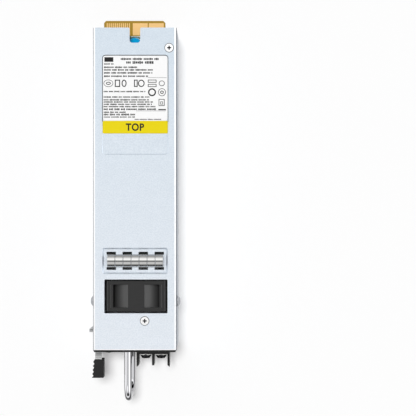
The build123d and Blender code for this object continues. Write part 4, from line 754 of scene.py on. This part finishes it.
word_curve = bpy.data.curves.new("up_word", "FONT")
word_curve.body = "TOP"
word_curve.size = 1.0
word_curve.offset = WORD_WEIGHT
word_curve.space_character = WORD_SPACING
word_carrier = bpy.data.objects.new("up_word_carrier", word_curve)
bpy.context.collection.objects.link(word_carrier)
bpy.context.view_layer.update()
word_mesh = bpy.data.meshes.new_from_object(word_carrier)
bpy.data.objects.remove(word_carrier)
low_x = min(v.co.x for v in word_mesh.vertices)
high_x = max(v.co.x for v in word_mesh.vertices)
low_y = min(v.co.y for v in word_mesh.vertices)
high_y = max(v.co.y for v in word_mesh.vertices)
word_low_y = (mark_low.y + mark_high.y) / 2 - WORD_SIZE[1] * MM / 2
for vertex in word_mesh.vertices:
    vertex.co = (
        mark_low.x + (WORD_LEFT + WORD_SIZE[0] * (vertex.co.x - low_x) / (high_x - low_x)) * MM,
        word_low_y + WORD_SIZE[1] * MM * (vertex.co.y - low_y) / (high_y - low_y),
        mark_high.z + INK_LIFT)
word_mesh.materials.clear()
word_mesh.materials.append(black_ink)
place_piece("up_word", word_mesh)
print("word has", len(word_mesh.polygons), "faces")

# %% [markdown]
# Through the notch the photograph shows a thin white line round the blue disc, printed on the board, and
# a few small marks behind it. Both are stamped like the rows, because short marks along an arc read as
# a line at this size.

# %% Silk print on the card board
ARC_GAP = 0.5 * MM
ARC_DEGREES = (50, 80)  # where the arc starts, and how far it goes round
ARC_STEPS = 14
ARC_MARK = (0.55 * MM, 0.3 * MM)
LEGEND_MARKS = 8
LEGEND_START = -3.2
LEGEND_PITCH = 0.75 * MM
LEGEND_GAP = 0.9 * MM
LEGEND_MARK = (0.4 * MM, 0.7 * MM)

disc_middle = (disc_low + disc_high) / 2
silk_radius = (disc_high.x - disc_low.x) / 2 + ARC_GAP
silk_z = card_high.z + INK_LIFT
silk_marks = []
for step in range(ARC_STEPS + 1):
    angle = math.radians(ARC_DEGREES[0] + ARC_DEGREES[1] * step / ARC_STEPS)
    silk_marks.append((
        (disc_middle.x + silk_radius * math.cos(angle), disc_middle.y + silk_radius * math.sin(angle),
         silk_z), ARC_MARK))
for step in range(LEGEND_MARKS):
    silk_marks.append((
        (disc_middle.x + (step + LEGEND_START) * LEGEND_PITCH,
         disc_middle.y + silk_radius + LEGEND_GAP, silk_z), LEGEND_MARK))
stamp_piece("card_silk", silk_marks, white_ink)
print("marks of silk print:", len(silk_marks))

# %% [markdown]
# The floor and backdrop of the photograph are pure white with a soft shadow beside the module. The floor
# is a light grey that takes the shadow, and rays from the camera, and those that mirrors send on, see a
# little light of its own that lifts it to white. The shadow stays, because it takes away the rest. More
# lamps would whiten a floor as well, but they would wash out the module with it.

# %% Floor
FLOOR_COLOUR = "E0E0E0"
FLOOR_LIFT = 0.23
FLOOR_HALF = 3.0

floor_finish, floor_tree, floor_shader = start_finish("white_floor", FLOOR_COLOUR, 1.0)
floor_shader.inputs["Specular IOR Level"].default_value = 0.0
floor_shader.inputs["Emission Color"].default_value = (1, 1, 1, 1)
path = add_node(floor_tree, "ShaderNodeLightPath")
seen = add_node(floor_tree, "ShaderNodeMath", {
    0: path.outputs["Is Camera Ray"], 1: path.outputs["Is Glossy Ray"]}, operation="MAXIMUM")
through = add_node(floor_tree, "ShaderNodeMath", {
    0: seen.outputs[0], 1: path.outputs["Is Transmission Ray"]}, operation="MAXIMUM")
lift = add_node(floor_tree, "ShaderNodeMath", {
    0: through.outputs[0], 1: FLOOR_LIFT}, operation="MULTIPLY")
floor_tree.links.new(lift.outputs[0], floor_shader.inputs["Emission Strength"])

floor_mesh = bpy.data.meshes.new("floor")
floor_mesh.from_pydata(
    [(-FLOOR_HALF, -FLOOR_HALF, 0), (FLOOR_HALF, -FLOOR_HALF, 0), (FLOOR_HALF, FLOOR_HALF, 0),
     (-FLOOR_HALF, FLOOR_HALF, 0)], [], [(0, 1, 2, 3)])
floor_mesh.materials.append(floor_finish)
floor = bpy.data.objects.new("floor", floor_mesh)
bpy.context.collection.objects.link(floor)
print("floor lift:", FLOOR_LIFT)

# %% [markdown]
# Metal shows the room it stands in, so the room matters as much as the metal. Two curves, one across the
# room and one along it, say how bright each direction is: softboxes to both sides and behind, and a
# dark line at the horizon. A picture of a real studio would do too, but a curve can be read and set stop
# by stop. The product of the two is dimmed in a round spot overhead, where the camera hangs. Only
# mirror-like rays see that pattern. Matt surfaces are lit by the same plain light from all sides, and
# the camera sees white. A curve node holds values up to 1 only, so each stop is stored as a part of
# CURVE_TOP, and the product gets that back.

# %% Room
ROOM_LIGHT = 0.19
ROOM_GAIN = 1.53
ACROSS = (
    (-1.0, 0.4), (-0.96, 1.3), (-0.85, 1.35), (-0.72, 0.5), (-0.55, 0.7), (-0.4, 1.05), (-0.1, 1.15),
    (0.05, 1.15), (0.18, 0.9), (0.3, 0.35), (0.4, 0.4), (0.55, 1.2), (0.8, 1.55), (0.93, 1.3),
    (1.0, 0.5),
)
ALONG = (
    (-1.0, 0.03), (-0.93, 0.05), (-0.89, 0.15), (-0.84, 0.5), (-0.7, 0.65), (-0.5, 0.66),
    (-0.3, 0.66), (-0.15, 0.74), (0.0, 0.7), (0.12, 0.72), (0.3, 1.1), (0.45, 1.2), (0.6, 0.95),
    (0.8, 0.6), (0.95, 0.4), (1.0, 0.3),
)
CURVE_TOP = 2.0
CAMERA_SPOT = (-0.07, -0.13, 0.0)
SPOT_RADII = (0.08, 0.3)
SPOT_LIGHT = 0.25

room = bpy.data.worlds.new("room")
room.use_nodes = True
bpy.context.scene.world = room
tree = room.node_tree
direction = add_node(tree, "ShaderNodeTexCoord")
axes = add_node(tree, "ShaderNodeSeparateXYZ", {"Vector": direction.outputs["Generated"]})
walls = []
for axis, stops in (("X", ACROSS), ("Y", ALONG)):
    fraction = add_node(tree, "ShaderNodeMapRange", {
        "Value": axes.outputs[axis], "From Min": -1.0, "From Max": 1.0})
    curve = add_node(tree, "ShaderNodeFloatCurve", {"Value": fraction.outputs["Result"]})
    line = curve.mapping.curves[0]
    stored = [((position + 1) / 2, value / CURVE_TOP) for position, value in stops]
    line.points[0].location = stored[0]
    line.points[1].location = stored[-1]
    for location in stored[1:-1]:
        line.points.new(*location)
    for point in line.points:
        point.handle_type = "VECTOR"
    curve.mapping.update()
    walls.append(curve.outputs["Value"])
product = add_node(tree, "ShaderNodeMath", {0: walls[0], 1: walls[1]}, operation="MULTIPLY")
flat = add_node(tree, "ShaderNodeVectorMath", {
    0: direction.outputs["Generated"], 1: (1, 1, 0)}, operation="MULTIPLY")
from_spot = add_node(tree, "ShaderNodeVectorMath", {
    0: flat.outputs["Vector"], 1: CAMERA_SPOT}, operation="DISTANCE")
spot = add_node(tree, "ShaderNodeMapRange", {
    "Value": from_spot.outputs["Value"], "From Min": SPOT_RADII[0], "From Max": SPOT_RADII[1],
    "To Min": SPOT_LIGHT, "To Max": 1.0}, interpolation_type="SMOOTHSTEP")
dimmed = add_node(tree, "ShaderNodeMath", {
    0: product.outputs[0], 1: spot.outputs["Result"]}, operation="MULTIPLY")
mirrored = add_node(tree, "ShaderNodeMath", {
    0: dimmed.outputs[0], 1: CURVE_TOP ** 2 * ROOM_GAIN}, operation="MULTIPLY")
path = add_node(tree, "ShaderNodeLightPath")
matt_or_mirror = add_node(tree, "ShaderNodeMix", {
    "Factor": path.outputs["Is Glossy Ray"], "A": ROOM_LIGHT, "B": mirrored.outputs[0]},
    data_type="FLOAT")
seen = add_node(tree, "ShaderNodeMath", {
    0: path.outputs["Is Camera Ray"], 1: path.outputs["Is Transmission Ray"]}, operation="MAXIMUM")
strength = add_node(tree, "ShaderNodeMix", {
    "Factor": seen.outputs[0], "A": matt_or_mirror.outputs["Result"], "B": 1.0}, data_type="FLOAT")
tree.links.new(strength.outputs["Result"], tree.nodes["Background"].inputs["Strength"])
tree.nodes["Background"].inputs["Color"].default_value = (1, 1, 1, 1)
print("stops across and along the room:", len(ACROSS), len(ALONG))

# %% [markdown]
# One soft lamp hangs almost overhead, a little to the left and to the rear. An area lamp near by would
# light the middle of the module more than its ends, so a sun with a wide disc stands for it. Its short
# shadow lies to the right of the module and in front, and its own mirror image is left out, because the
# room already has its softboxes.

# %% Lamp
LAMP_LIGHT = 2.62
LAMP_SPREAD = 16
LAMP_FROM_LEFT = 1.5
LAMP_FROM_REAR = 10.0

softbox_data = bpy.data.lights.new("softbox", "SUN")
softbox_data.energy = LAMP_LIGHT
softbox_data.angle = math.radians(LAMP_SPREAD)
softbox = bpy.data.objects.new("softbox", softbox_data)
softbox.rotation_euler = (math.radians(-LAMP_FROM_REAR), math.radians(-LAMP_FROM_LEFT), 0)
softbox.visible_glossy = False
bpy.context.collection.objects.link(softbox)
print("lamp strength:", LAMP_LIGHT)

# %% [markdown]
# The Standard view transform shows each colour as it was written, where Blender's default would bend
# it.

# %% View transform
bpy.context.scene.view_settings.view_transform = "Standard"
